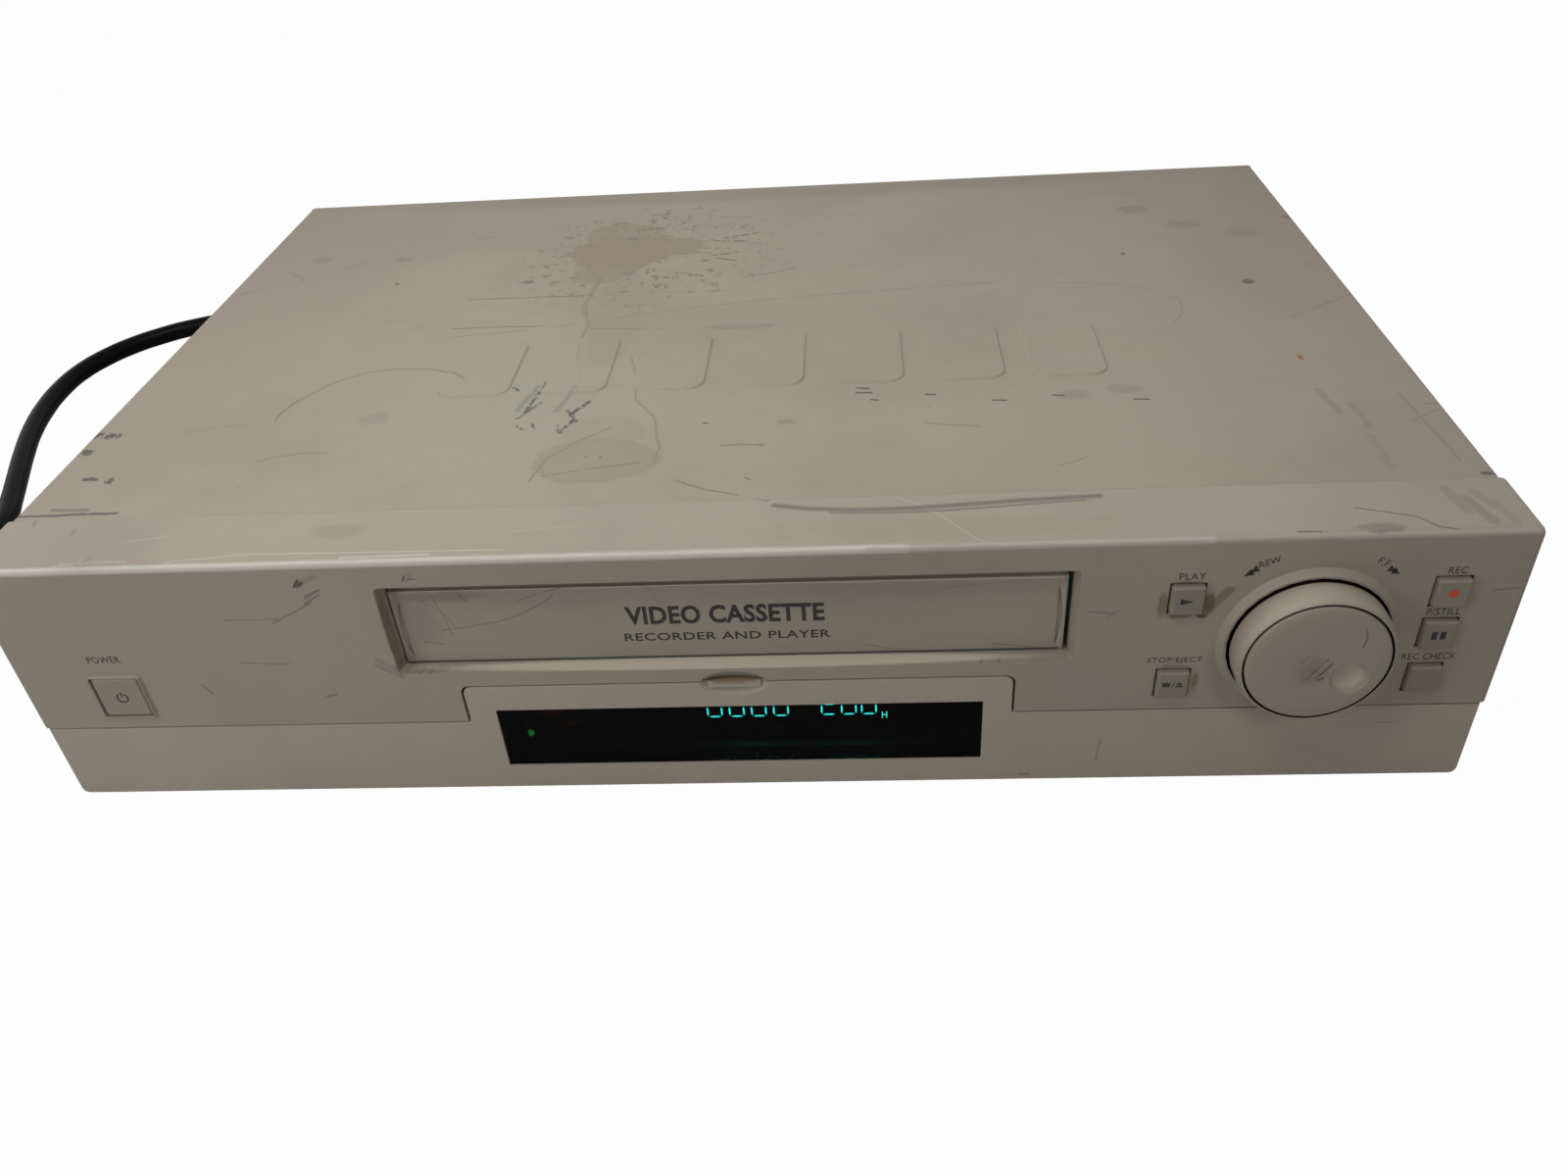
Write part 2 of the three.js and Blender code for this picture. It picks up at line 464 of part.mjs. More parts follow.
// Front panel: a shell that wraps over the top, with room for the door, the flap, the keys and the knob
function frontPanel() {
  const { wall, depth } = panel;
  const inner = half - wall;
  const top = panel.height - wall;
  const seam = door.seam;
  const roomRear = door.room + wall;
  const roomShoulder = doorShoulder + seam;
  const roomTop = doorTop + seam;
  const roomMiddle = door.middle + seam;
  let body = moulded(roundedRect(-half, half, 0, panel.height, panel.cornerRound), 0, depth,
    panel.edgeRound, cornerSteps);
  const doorRoom = doorOutline(half + over, -over, roomShoulder, roomMiddle, roomTop, door.round, 0);
  const doorWall = doorOutline(half + over, -over, roomShoulder + wall, roomMiddle + wall, roomTop + wall,
    0, 0);
  const shell = block(-inner, inner, wall, roomRear + over, wall, top)
    .subtract(faced(doorWall, -over, depth));
  body = cut(body,
    faced(doorRoom, -over, door.room),
    shell,
    block(-inner, inner, roomRear, depth + over, wall, top));
  const collar = block(slot.left - slot.collar, slot.right + slot.collar, wall - over, slot.collarDepth,
    slotLow - slot.collar, slotRoof + slot.collar);
  const posts = [];
  const [boardLeft, boardRight, boardLow, boardHigh] = keyBoardEdges;
  for (const x of [boardLeft, boardRight]) {
    for (const z of [boardLow, boardHigh]) {
      const inX = x + Math.sign(knobX - x) * board.postInset;
      const inZ = z + Math.sign(knobZ - z) * board.postInset;
      posts.push(rod('y', [inX, inZ], board.post, wall - over, keyBoard.front - gap, pinSides));
    }
  }
  for (const x of [-half + displayBoard.inset, -subOpening.half, subOpening.half, displayBoard.right]) {
    const inX = x + Math.sign(x) * (Math.abs(x) > subOpening.half ? -board.postInset : board.postInset);
    const at = [inX, displayBoard.low + board.postInset];
    posts.push(rod('y', at, board.post, door.room + over, displayBoard.front - gap, pinSides));
  }
  const lugs = [-1, 1].map((side) => {
    const near = side * lugX;
    const [x0, x1] = [Math.min(near, near + side * door.lugWide),
      Math.max(near, near + side * door.lugWide)];
    return join(
      rod('x', [door.axisY, door.axisZ], door.lug, x0, x1, pinSides),
      block(x0, x1, door.axisY, door.room + over, door.axisZ - door.lug, door.axisZ + door.lug));
  });
  body = join(body, collar, ...posts, ...lugs, turned('y', [knobX, knobZ],
    [ [0, -knob.bezelHigh], [knob.bezelTop, -knob.bezelHigh], [knob.bezel, 0], [knob.bezelTop, over],
    [0, over], ]));
  const slotBack = [slot.left, slot.right, slotLow, slotHigh];
  const flares = [-slot.flareLeft, slot.flareRight, -slot.flareLow, slot.flareHigh];
  const slotAhead = slotBack.map((value, i) => value + flares[i] * (slot.chamfer + over) / slot.chamfer);
  body = cut(body, funnel(slotAhead, slotBack, -over, slot.chamfer, slot.frontRound, slot.backRound),
    block(slot.left, slot.right, 0, slot.chamfer + over, slotLow, slotHigh),
    block(slot.left, slot.right, slot.chamfer, slot.collarDepth + over, slotLow, slotRoof),
    rod('x', [flap.axisY, flapAxisZ], flap.pin + gap, slot.left - slot.collar + gap,
    slot.right + slot.collar - gap, pinSides), rod('y', [knobX, knobZ], knob.hole, -knob.bezelHigh - over,
    wall + over, roundSides), scoopCut(), block(-subOpening.half, subOpening.half, door.room - over,
    roomRear + over, subOpening.low, doorTop - subOpening.fromTop));
  for (const [x, z] of Object.values(keySpots)) {
    const [w, h] = [key.width / 2 + key.gap, key.height / 2 + key.gap];
    body = cut(body, block(x - w, x + w, -over, wall + over, z - h, z + h));
  }
  const hole = power.size / 2 + power.gap;
  const rim = power.frame / 2;
  const lip = hole + power.frameLip;
  const frameFront = [powerX - lip, powerX + lip, powerZ - lip, powerZ + lip];
  const frameBack = [powerX - rim, powerX + rim, powerZ - rim, powerZ + rim];
  const frame = funnel(frameFront, frameBack, -power.frameHigh, over, key.round, power.frameRound);
  const keyHole = roundedRect(powerX - hole, powerX + hole, powerZ - hole, powerZ + hole, key.round);
  body = cut(join(body, frame), faced(keyHole, -power.frameHigh - over, wall + over));
  for (const side of [-1, 1]) {
    const middle = side * (lugX + door.lugWide / 2);
    body = cut(body, rod('x', [door.axisY, door.axisZ], door.pin + gap, middle - door.lugWide,
      middle + door.lugWide, pinSides));
  }
  place('front_panel', body, 'plastic');
}

function dropDoor() {
  const side = half - door.inset;
  const { rim, wall } = door;
  const outline = doorOutline(side, door.bottom, doorShoulder, door.middle, doorTop, door.round, door.foot);
  const inside = doorOutline(side - rim, door.bottom + rim, doorShoulder - rim, door.middle - rim,
    doorTop - rim, 0, 0);
  let body = moulded(outline, 0, door.depth, door.edge, 2);
  body = cut(body,
    faced(inside, wall, door.depth + over),
    scoopCut(),
    block(glass.left, glass.right, -over, wall + over, glass.low, glassHigh));
  body = body.add(block(-door.tab, door.tab, door.tabSink, door.wall, doorTop - door.tabHigh, doorTop));
  for (const s of [-1, 1]) {
    const near = s * (lugX + door.lugWide + gap);
    const far = near + s * door.ear;
    const tip = near - s * door.pinLong;
    const notchNear = s * (lugX - gap);
    body = cut(body, block(Math.min(notchNear, near), Math.max(notchNear, near), wall, door.depth + over,
      door.bottom - over, door.bottom + rim + over));
    body = join(body, block(Math.min(near, far), Math.max(near, far), wall - over, door.earDeep,
      door.bottom + over, door.earHigh), rod('x', [door.axisY, door.axisZ], door.pin, Math.min(tip, far),
      Math.max(tip, far), pinSides));
  }
  place('drop_door', body, 'plastic', [0, door.axisY, door.axisZ]);
}

function doorWindow() {
  const { fit, flange } = glass;
  const pane = block(glass.left + fit, glass.right - fit, glass.sink, door.wall + gap + over,
    glass.low + fit, glassHigh - fit);
  const lip = block(glass.left - flange, glass.right + flange, door.wall + gap,
    door.wall + gap + glass.flangeThick, glass.low - flange, glassHigh + flange);
  place('door_window', pane.add(lip), 'smoked', [0, door.axisY, door.axisZ]);
}

function cassetteFlap() {
  const rearY = flap.front + flap.thick;
  let body = join(
    block(flapLeft, flapRight, flap.front, rearY, flapLow, flapHigh),
    block(flapLeft, flapRight, rearY - flap.ear, rearY, flapHigh - over, flapHigh + flap.lipUp));
  const gripLow = flapLow + flap.gripLow;
  const gripHigh = flapHigh - flap.gripHigh;
  for (const [edge, way] of [[flapLeft, 1], [flapRight, -1]]) {
    const chord = edge + way * flap.gripInset;
    const crescent = new THREE.Shape();
    crescent.moveTo(chord, gripLow);
    crescent.quadraticCurveTo(chord - way * flap.gripBow * 2, (gripLow + gripHigh) / 2, chord, gripHigh);
    crescent.closePath();
    body = body.subtract(faced(crescent, flap.front - over, flap.front + flap.grip, pinSides));
    const tip = edge - way * flap.pinLong;
    body = join(body, rod('x', [flap.axisY, flapAxisZ], flap.barrel,
      Math.min(edge, edge + way * flap.barrelLong), Math.max(edge, edge + way * flap.barrelLong),
      pinSides), block(Math.min(edge, edge + way * flap.barrelLong),
      Math.max(edge, edge + way * flap.barrelLong), rearY - flap.ear, rearY, flapHigh - over, flapAxisZ),
      rod('x', [flap.axisY, flapAxisZ], flap.pin, Math.min(edge + way, tip), Math.max(edge + way, tip),
      pinSides));
  }
  place('cassette_flap', body, 'plastic', [0, flap.axisY, flapAxisZ]);
}

// A key: a cap with rounded front edges, a flange that keeps it in the panel and a stem to its switch
function keyCap(name, x, z, width, height, out, finish) {
  const flangeFront = panel.wall + gap;
  const shape = roundedRect(x - width / 2, x + width / 2, z - height / 2, z + height / 2, key.round);
  const wide = width / 2 + key.flange;
  const high = height / 2 + key.flange;
  const body = join(
    moulded(shape, -out, flangeFront + over, key.edge, 1, 2),
    block(x - wide, x + wide, flangeFront, flangeFront + key.flangeThick, z - high, z + high),
    rod('y', [x, z], key.stem, flangeFront, key.stemEnd, pinSides));
  place(name, body, finish, [x, 0, z]);
}

function keys() {
  keyCap('power_button', powerX, powerZ, power.size, power.size, power.out, 'keyPlastic');
  for (const [name, [x, z]] of Object.entries(keySpots)) {
    keyCap(name, x, z, key.width, key.height, key.out, 'keyPlastic');
  }
}

function shuttleAndJog() {
  const centre = [knobX, knobZ];
  const pivot = [knobX, 0, knobZ];
  const ringProfile = [
    [ring.hubBore, ring.hubRear], [ring.hubBore, -ring.floor + ring.web], [ring.hubBore, -ring.floor],
    [ring.bore, -ring.floor], [ring.bore, -ring.out], [ring.rimRadius, -ring.out],
    [ring.radius, -ring.shoulder], [ring.radius, ring.wallRear], [ring.bore, ring.wallRear],
    [ring.bore, -ring.floor + ring.web], [ring.hub, -ring.floor + ring.web], [ring.hub, ring.hubRear],
    [ring.hubBore, ring.hubRear],
  ];
  place('shuttle_ring', turned('y', centre, ringProfile), 'plastic', pivot);
  const dialProfile = [
    [0, -dial.out + dial.dish], [dial.dishRadius, -dial.out + dial.dish / 2], [dial.face, -dial.out],
    [dial.radius, -dial.rimOut], [dial.radius, -dial.back], [dial.shaft, -dial.back],
    [dial.shaft, dial.shaftRear], [0, dial.shaftRear],
  ];
  const dimple = new THREE.SphereGeometry(1, rodSides, pinSides);
  dimple.scale(dial.dimple, dial.dimpleDeep, dial.dimple)
    .translate(knobX + dial.dimpleX, -dial.out + dial.dish / 2, knobZ + dial.dimpleZ);
  place('jog_dial', cut(turned('y', centre, dialProfile), solid(dimple)), 'plastic', pivot);
}

function frontBoards() {
  const switchFront = key.stemEnd + key.travel + gap;
  const side = board.switchSize / 2;
  const [boardLeft, boardRight, boardLow, boardHigh] = keyBoardEdges;
  let keysBody = block(boardLeft, boardRight, keyBoard.front, keyBoard.front + board.thick, boardLow,
    boardHigh);
  for (const [x, z] of Object.values(keySpots)) {
    keysBody = keysBody.add(block(x - side, x + side, switchFront, keyBoard.front + over, z - side,
      z + side));
  }
  keysBody = keysBody.add(rod('y', [knobX, knobZ], encoder.radius, keyBoard.front - encoder.deep,
    keyBoard.front + over));
  place('key_board', keysBody, 'boardGreen');
  let displayBody = block(-half + displayBoard.inset, displayBoard.right, displayBoard.front,
    displayBoard.front + board.thick, displayBoard.low, slotLow - displayBoard.belowSlot);
  displayBody = displayBody.add(block(powerX - side, powerX + side, switchFront, displayBoard.front + over,
    powerZ - side, powerZ + side));
  place('display_board', displayBody, 'boardGreen');
  const tubeBack = displayBoard.front - gap;
  const tubeBody = join(
    block(-tube.half, tube.half, tubeBack - tube.deep, tubeBack, tube.low, tube.high),
    rod('x', [tubeBack - tube.deep / 2, (tube.low + tube.high) / 2], tube.tip, tube.half - over,
      tube.half + tube.tipLong, pinSides));
  place('display_tube', tubeBody, 'tubeGlass');
}

// Top cover: one sheet bent down both sides and at the back, with a row of pressed pads and side vents
function topCover() {
  const front = panel.depth + cover.seam;
  const outer = new THREE.Shape();
  const inner = coverInner;
  outer.moveTo(coverHalf, cover.low);
  outer.absarc(coverHalf - cover.bend, coverTop - cover.bend, cover.bend, 0, Math.PI / 2);
  outer.absarc(-coverHalf + cover.bend, coverTop - cover.bend, cover.bend, Math.PI / 2, Math.PI);
  outer.lineTo(-coverHalf, cover.low);
  outer.lineTo(-inner, cover.low);
  outer.absarc(-inner + cover.bend - cover.sheet, coverTop - cover.bend, cover.bend - cover.sheet, Math.PI,
    Math.PI / 2, true);
  outer.absarc(inner - cover.bend + cover.sheet, coverTop - cover.bend, cover.bend - cover.sheet,
    Math.PI / 2, 0, true);
  outer.lineTo(inner, cover.low);
  outer.closePath();
  let body = faced(outer, front, cover.depth);
  body = body.add(block(-inner - cover.sheet / 2, inner + cover.sheet / 2, cover.depth - cover.sheet,
    cover.depth, coverTop - cover.flange, coverTop - cover.sheet / 2));
  const [padHalf, padTall] = [pad.width / 2, pad.height / 2];
  for (let i = 0; i < pad.count; i += 1) {
    const x = pad.x + (i - (pad.count - 1) / 2) * pad.pitch;
    const outline = roundedRect(x - padHalf, x + padHalf, pad.y - padTall, pad.y + padTall, pad.round);
    const raised = extruded(outline, over, pad.raise, 1).translate(0, 0, coverTop - over);
    body = body.add(solid(raised).subtract(block(x - pad.width, x + pad.width, pad.y - pad.height,
      pad.y + pad.height, -over, coverTop - cover.sheet / 2)));
  }
  for (let i = 0; i < vent.count; i += 1) {
    const y = cover.depth - vent.rearInset - (vent.count - i) * vent.pitch;
    body = body.subtract(block(-half, half, y, y + vent.width, vent.low, coverTop - vent.fromTop));
  }
  body = body.subtract(rod('x', [screw.y, screw.z], screw.shank + gap, -half, half, pinSides));
  place('top_cover', body, 'paint');
}

function basePan() {
  const side = coverInner - gap;
  const rearY = rearFace;
  const profile = polygon([
    [-side, pan.low], [side, pan.low], [side, pan.low + pan.side], [side - pan.sheet, pan.low + pan.side],
    [side - pan.sheet, panFloor], [-side + pan.sheet, panFloor], [-side + pan.sheet, pan.low + pan.side],
    [-side, pan.low + pan.side],
  ]);
  let body = faced(profile, panel.depth + cover.seam, rearY - rear.sheet - gap);
  const tongue = half - panel.wall - gap;
  body = body.add(block(-tongue, tongue, pan.frontY, panel.depth + over, pan.low, panFloor));
  for (const x of [-pan.ribInset, pan.ribInset]) {
    body = body.add(block(x - pan.ribWidth / 2, x + pan.ribWidth / 2, deck.front, deck.rear,
      panFloor - pan.sheet / 2, panFloor + pan.rib));
  }
  for (let i = 0; i < pan.slots; i += 1) {
    const x = -coverInner + pan.slotInset + i * pan.slotPitch;
    body = body.subtract(block(x, x + pan.slotWidth, pan.slotY, pan.slotY + pan.slotLength, pan.low - over,
      panFloor + over));
  }
  body = body.add(rod('z', [capstan.x, capstan.y], capstan.pad, panFloor - pan.sheet / 2, capstan.low - gap,
    pinSides));
  const inset = mainBoard.post * 2;
  const mainFront = mainBoard.front + inset;
  const powerFront = powerBoard.front + inset;
  const standoffs = [
    [mainLeft + inset, mainFront], [mainRight - inset, mainFront],
    [mainRight - inset, mainRear - inset], [mainArm + inset, mainRear - inset],
    [powerLeft + inset, powerFront], [powerRight - inset, powerFront],
    [powerLeft + inset, powerRear - inset], [powerRight - inset, powerRear - inset],
  ];
  for (const at of standoffs) {
    body = body.add(rod('z', at, mainBoard.post, panFloor - pan.sheet / 2, mainBoard.z - gap, pinSides));
  }
  body = body.subtract(rod('x', [screw.y, screw.z], screw.shank + gap, -half, half, pinSides));
  place('base_pan', body, 'steel');
}

function feet() {
  const places = {
    front_left_foot: [-footX, foot.frontY], front_right_foot: [footX, foot.frontY],
    rear_left_foot: [-footX, cover.depth - foot.rearInset],
    rear_right_foot: [footX, cover.depth - foot.rearInset],
  };
  for (const [name, [x, y]] of Object.entries(places)) {
    const top = pan.low - gap;
    const profile = [
      [0, -foot.height + foot.recess], [foot.recessRadius, -foot.height + foot.recess],
      [foot.recessRadius, -foot.height],
      [foot.base, -foot.height], [foot.radius, -foot.height / 2], [foot.radius, top], [0, top],
    ];
    place(name, turned('z', [x, y], profile, rodSides), 'rubber', [x, y, 0]);
  }
}

function coverScrews() {
  for (const [name, side] of [['left_cover_screw', -1], ['right_cover_screw', 1]]) {
    const seat = coverHalf + gap;
    const head = rod('x', [screw.y, screw.z], screw.head, seat, seat + screw.headHigh, pinSides);
    const shank = rod('x', [screw.y, screw.z], screw.shank, seat - screw.length, seat + screw.headHigh / 2,
      pinSides);
    const slit = block(seat + screw.headHigh - screw.slotDeep, half + over, screw.y - screw.head,
      screw.y + screw.head, screw.z - screw.slot / 2, screw.z + screw.slot / 2);
    const body = head.add(shank).subtract(slit);
    place(name, side > 0 ? body : mirrored(body), 'steel');
  }
}

function rearPanel() {
  const side = coverInner - gap;
  const low = panFloor + gap;
  const high = coverTop - cover.sheet - gap;
  const inside = rearFace - rear.sheet;
  let body = block(-side, side, inside, rearFace, low, high);
  body = body.add(block(-side + pan.sheet + gap, side - pan.sheet - gap, inside - rear.foot, rearFace, low,
    low + rear.sheet));
  for (let i = 0; i < rear.slots; i += 1) {
    const x = coverInner - rear.slotInset + i * rear.slotPitch;
    const top = coverTop - rear.slotFromTop;
    body = body.subtract(block(x, x + rear.slotWidth, inside - over, rearFace + over, top - rear.slotHigh,
      top));
  }
  const inletHalf = inlet.bodyWide / 2 + gap;
  const inletRise = inlet.bodyHigh / 2 + gap;
  const stripHalf = terminal.width / 2 + gap;
  body = cut(body, block(inletX - inletHalf, inletX + inletHalf, inside - over, rearFace + over,
    inlet.z - inletRise, inlet.z + inletRise),
    ...bncXs.map((x) => rod('y', [x, bnc.z], bnc.inner + gap, inside - over, rearFace + over)),
    block(terminalX - stripHalf, terminalX + stripHalf, inside - over, rearFace + over,
    terminal.low - gap, terminal.high + gap));
  for (const [x, z] of rcaPlaces()) {
    body = body.subtract(rod('y', [x, z], rca.barrel + gap, inside - over, rearFace + over));
  }
  place('rear_panel', body, 'steel');
}

function rcaPlaces() {
  const places = [];
  for (let column = 0; column < rca.columns; column += 1) {
    for (let row = 0; row < rca.rows; row += 1) {
      places.push([rcaX + (column - (rca.columns - 1) / 2) * rca.pitch, rca.z + row * rca.pitch]);
    }
  }
  return places;
}

function sockets() {
  const names = ['video_in_socket', 'video_out_socket'];
  bncXs.forEach((x, i) => {
    const start = rearFace + gap;
    const end = rearReach;
    let body = join(
      rod('y', [x, bnc.z], bnc.flange, start, start + bnc.flangeThick, nutSides),
      rod('y', [x, bnc.z], bnc.barrel, start, end),
      rod('y', [x, bnc.z], bnc.inner, start - bnc.innerLong, start + over));
    for (const side of [-1, 1]) {
      const from = side > 0 ? x : x - bnc.barrel - bnc.lugHigh;
      body = body.add(rod('x', [end - bnc.lugAt, bnc.z], bnc.lug, from, from + bnc.barrel + bnc.lugHigh,
        pinSides));
    }
    body = body.subtract(rod('y', [x, bnc.z], bnc.bore, end - bnc.boreDeep, end + over));
    body = body.add(rod('y', [x, bnc.z], bnc.pin, end - bnc.boreDeep - over, end - bnc.lugAt, pinSides));
    place(names[i], body, 'steel', [x, start, bnc.z]);
  });
  const boardTop = mainBoard.z + board.thick;
  const inside = rearFace - rear.sheet - gap;
  let audioBody = block(rcaX - rca.width / 2, rcaX + rca.width / 2, inside - rca.depth, inside,
    boardTop + gap, rca.high);
  for (const [x, z] of rcaPlaces()) {
    const end = rearFace + rca.out;
    audioBody = audioBody.add(rod('y', [x, z], rca.barrel, inside - over, end));
    audioBody = audioBody.subtract(rod('y', [x, z], rca.bore, end - rca.boreDeep, end + over, pinSides));
  }
  place('audio_sockets', audioBody, 'black');
  const tHalf = terminal.width / 2;
  const tOut = rearFace + terminal.out;
  const profile = polygon([
    [inside - terminal.depth, boardTop + gap], [inside, boardTop + gap], [inside, terminal.low],
    [tOut, terminal.low], [tOut, terminal.high - terminal.slope], [tOut - terminal.slope, terminal.high],
    [inside - terminal.depth, terminal.high],
  ]);
  let strip = upright(profile, terminalX - tHalf, terminalX + tHalf);
  const lever = terminal.lever / 2;
  const leverLow = terminal.low + terminal.leverUp;
  for (let i = 0; i < terminal.ways; i += 1) {
    const x = terminalX + (i - (terminal.ways - 1) / 2) * terminal.pitch;
    const hole = rod('y', [x, terminal.low + terminal.holeUp], terminal.hole, tOut - terminal.holeDeep,
      tOut + over, pinSides);
    const tab = block(x - lever, x + lever, tOut - over, tOut + terminal.leverOut, leverLow,
      leverLow + terminal.leverHigh);
    strip = strip.subtract(hole).add(tab);
  }
  place('alarm_terminals', strip, 'black');
  mainsInlet();
}

function mainsInlet() {
  const front = rearFace + gap;
  const end = front + inlet.flangeThick;
  const floor = end - inlet.openDeep;
  const plate = (x, z, wide, high, near, far) => block(x - wide / 2, x + wide / 2, near, far, z - high / 2,
    z + high / 2);
  let body = join(
    plate(inletX, inlet.z, inlet.flangeWide, inlet.flangeHigh, front, end),
    plate(inletX, inlet.z, inlet.bodyWide, inlet.bodyHigh, front - inlet.bodyDeep,
    front + inlet.flangeThick / 2));
  body = body.subtract(plate(inletX, inlet.z, inlet.openWide, inlet.openHigh, floor, end + over));
  for (const [x, z] of bladePlaces()) {
    body = body.add(plate(x, z, inlet.bladeWide, inlet.bladeHigh, floor - over, floor + inlet.bladeLong));
  }
  place('mains_inlet', body, 'black');
}

function bladePlaces() {
  return [
    [inletX - inlet.bladePitch, inlet.z - inlet.bladeDrop],
    [inletX + inlet.bladePitch, inlet.z - inlet.bladeDrop],
    [inletX, inlet.z + inlet.bladeDrop],
  ];
}

// Electronics: boards on the pan's posts, with the larger parts soldered on
function electronics() {
  const top = mainBoard.z + board.thick;
  const seat = top - board.thick / 2;
  const armFront = mainRear - mainBoard.armDeep;
  const outline = polygon([
    [mainArm, armFront], [mainLeft, armFront], [mainLeft, mainBoard.front], [mainRight, mainBoard.front],
    [mainRight, mainRear], [mainArm, mainRear],
  ]);
  let main = join(flat(outline, mainBoard.z, top), chip(tuner, tuner.x,
    mainRear + mainBoard.rearInset - tuner.rearInset, seat));
  for (const part of [chips, heatSink, shield]) {
    const middle = mainLeft + part.xShare * (mainRight - mainLeft);
    main = main.add(chip(part, middle, mainBoard.front + part.y, seat));
  }
  const cans = signalCans;
  const cansX = mainLeft + cans.xShare * (mainRight - mainLeft);
  for (let i = 0; i < cans.count; i += 1) {
    const at = [cansX, mainBoard.front + cans.y + i * cans.pitch];
    main = main.add(rod('z', at, cans.radius, seat, top + cans.high, pinSides));
  }
  place('main_board', main, 'boardGreen');
  const y0 = powerBoard.front;
  const across = (share) => powerLeft + share * (powerRight - powerLeft);
  let primary = join(block(powerLeft, powerRight, y0, powerRear, powerBoard.z, powerBoard.z + board.thick),
    chip(supplySink, across(supplySink.xShare), y0 + supplySink.y, seat),
    chip(filter, across(filter.xShare), y0 + filter.y, seat),
    rod('z', [across(supply.bulkShare), y0 + supply.bulkY], supply.bulk, seat, top + supply.bulkHigh));
  for (let i = 0; i < supply.cans; i += 1) {
    const at = [across(supply.canShare), y0 + supply.canY + i * supply.canPitch];
    primary = primary.add(rod('z', at, supply.can, seat, top + supply.canHigh, pinSides));
  }
  place('power_board', primary, 'boardGreen');
  const t = transformer;
  const [x, y] = [-coverInner + t.inset, rearFace - t.rearInset];
  const base = panFloor + gap;
  const middle = base + t.high / 2;
  const body = join(
    block(x - t.width / 2, x + t.width / 2, y - t.depth / 2 + over, y + t.depth / 2 - over, base,
      base + t.high),
    block(x - t.coilWidth / 2, x + t.coilWidth / 2, y - t.coilDepth / 2, y + t.coilDepth / 2,
      middle - t.coilHigh / 2, middle + t.coilHigh / 2),
    block(x - t.foot / 2, x + t.foot / 2, y - t.depth / 4, y + t.depth / 4, base, base + t.footThick));
  place('transformer', body, 'steel');
}

// Deck plate with its legs, guide slots, bearings and the pins that carry arms, reels and gears
function deckChassis() {
  const d = deck;
  let body = block(-deckHalf, deckHalf, d.front, d.rear, d.low, deckTop);
  for (const side of [-1, 1]) {
    const [x0, x1] = side > 0 ? [deckHalf - d.sheet, deckHalf] : [-deckHalf, -deckHalf + d.sheet];
    body = body.add(block(x0, x1, d.front, d.rear, d.low - d.flange, deckTop));
    for (const y of [d.front + d.legInset, d.rear - d.legInset - d.leg]) {
      const [l0, l1] = side > 0 ? [deckHalf - d.leg, deckHalf] : [-deckHalf, -deckHalf + d.leg];
      body = body.add(block(l0, l1, y, y + d.leg, panFloor + gap, deckTop));
    }
  }
  for (const [start, end] of Object.values(guidePaths)) {
    body = body.subtract(flat(stadium(start, end, guide.slot), d.low - over, deckTop + over));
  }
  const bearingTop = deckTop + capstan.bearingHigh;
  body = body.add(rod('z', [capstan.x, capstan.y], capstan.bearing, d.low, bearingTop, pinSides));
  body = cut(body,
    rod('z', [capstan.x, capstan.y], capstan.bearingBore, d.low - over, bearingTop + over, pinSides),
    rod('z', [clutch.x, clutch.y], clutch.bore, d.low - over, deckTop + over, pinSides));
  const pins = [
    [[-reel.x, reel.y], reel.pin, deckTop + reel.pinHigh],
      [[reel.x, reel.y], reel.pin, deckTop + reel.pinHigh],
    [[pinch.pivotX, pinch.pivotY], pinch.pin, pinch.low + pinch.thick + pinch.boss],
    [[tension.pivotX, tension.pivotY], tension.pin, tension.low + tension.boss],
    [[camX, cam.y], cam.bore - gap, cam.low + cam.thick + cam.hubHigh],
  ];
  for (const [at, radius, high] of pins) {
    body = body.add(rod('z', at, radius, deckTop - d.sheet / 2, high, pinSides));
  }
  const collars = [
    [[pinch.pivotX, pinch.pivotY], pinch.boss, pinch.low - gap],
    [[tension.pivotX, tension.pivotY], tension.boss, tension.low - gap],
    [[camX, cam.y], cam.hub, cam.low - gap],
  ];
  for (const [at, radius, high] of collars) {
    body = body.add(rod('z', at, radius, deckTop - d.sheet / 2, high, pinSides));
  }
  const wormBlock = block(wormRight - gap - worm.block, wormRight - gap, wormY - worm.blockHalf,
    wormY + worm.blockHalf, deckTop - d.sheet / 2, wormZ + worm.blockHalf);
  body = body.add(wormBlock.subtract(rod('x', [wormY, wormZ], worm.shaft + gap, wormLeft, wormRight + over,
    pinSides)));
  place('deck_chassis', body, 'steel');
}

// Brackets beside the cassette basket; the slot takes the basket's pins in and then down
function brackets() {
  const b = bracket;
  const low = deckTop + gap;
  const high = coverTop - b.fromTop;
  const profile = polygon([[b.front, low], [b.rear, low], [b.rear, high], [b.front, high]]);
  for (const y of [basket.pinFront, basket.pinRear]) {
    profile.holes.push(trackHole(y, pinLow, b.slotWidth / 2));
  }
  const plate = upright(profile, bracketInner, bracketInner + b.sheet);
  const sole = block(bracketInner, bracketInner + b.sheet + b.foot, b.front, b.rear, low, low + b.sheet);
  const body = plate.add(sole);
  place('right_bracket', body, 'steel');
  place('left_bracket', mirrored(body), 'steel');
}

// The bent track of one basket pin: inwards by the first travel, then down by the second
function trackHole(y, z, r) {
  const [y1, z1] = [y + basket.travelIn, z - basket.travelDown];
  return polygon([[y - r, z - r], [y - r, z + r], [y1 + r, z + r], [y1 + r, z1 - r], [y1 - r, z1 - r],
    [y1 - r, z - r]]);
}

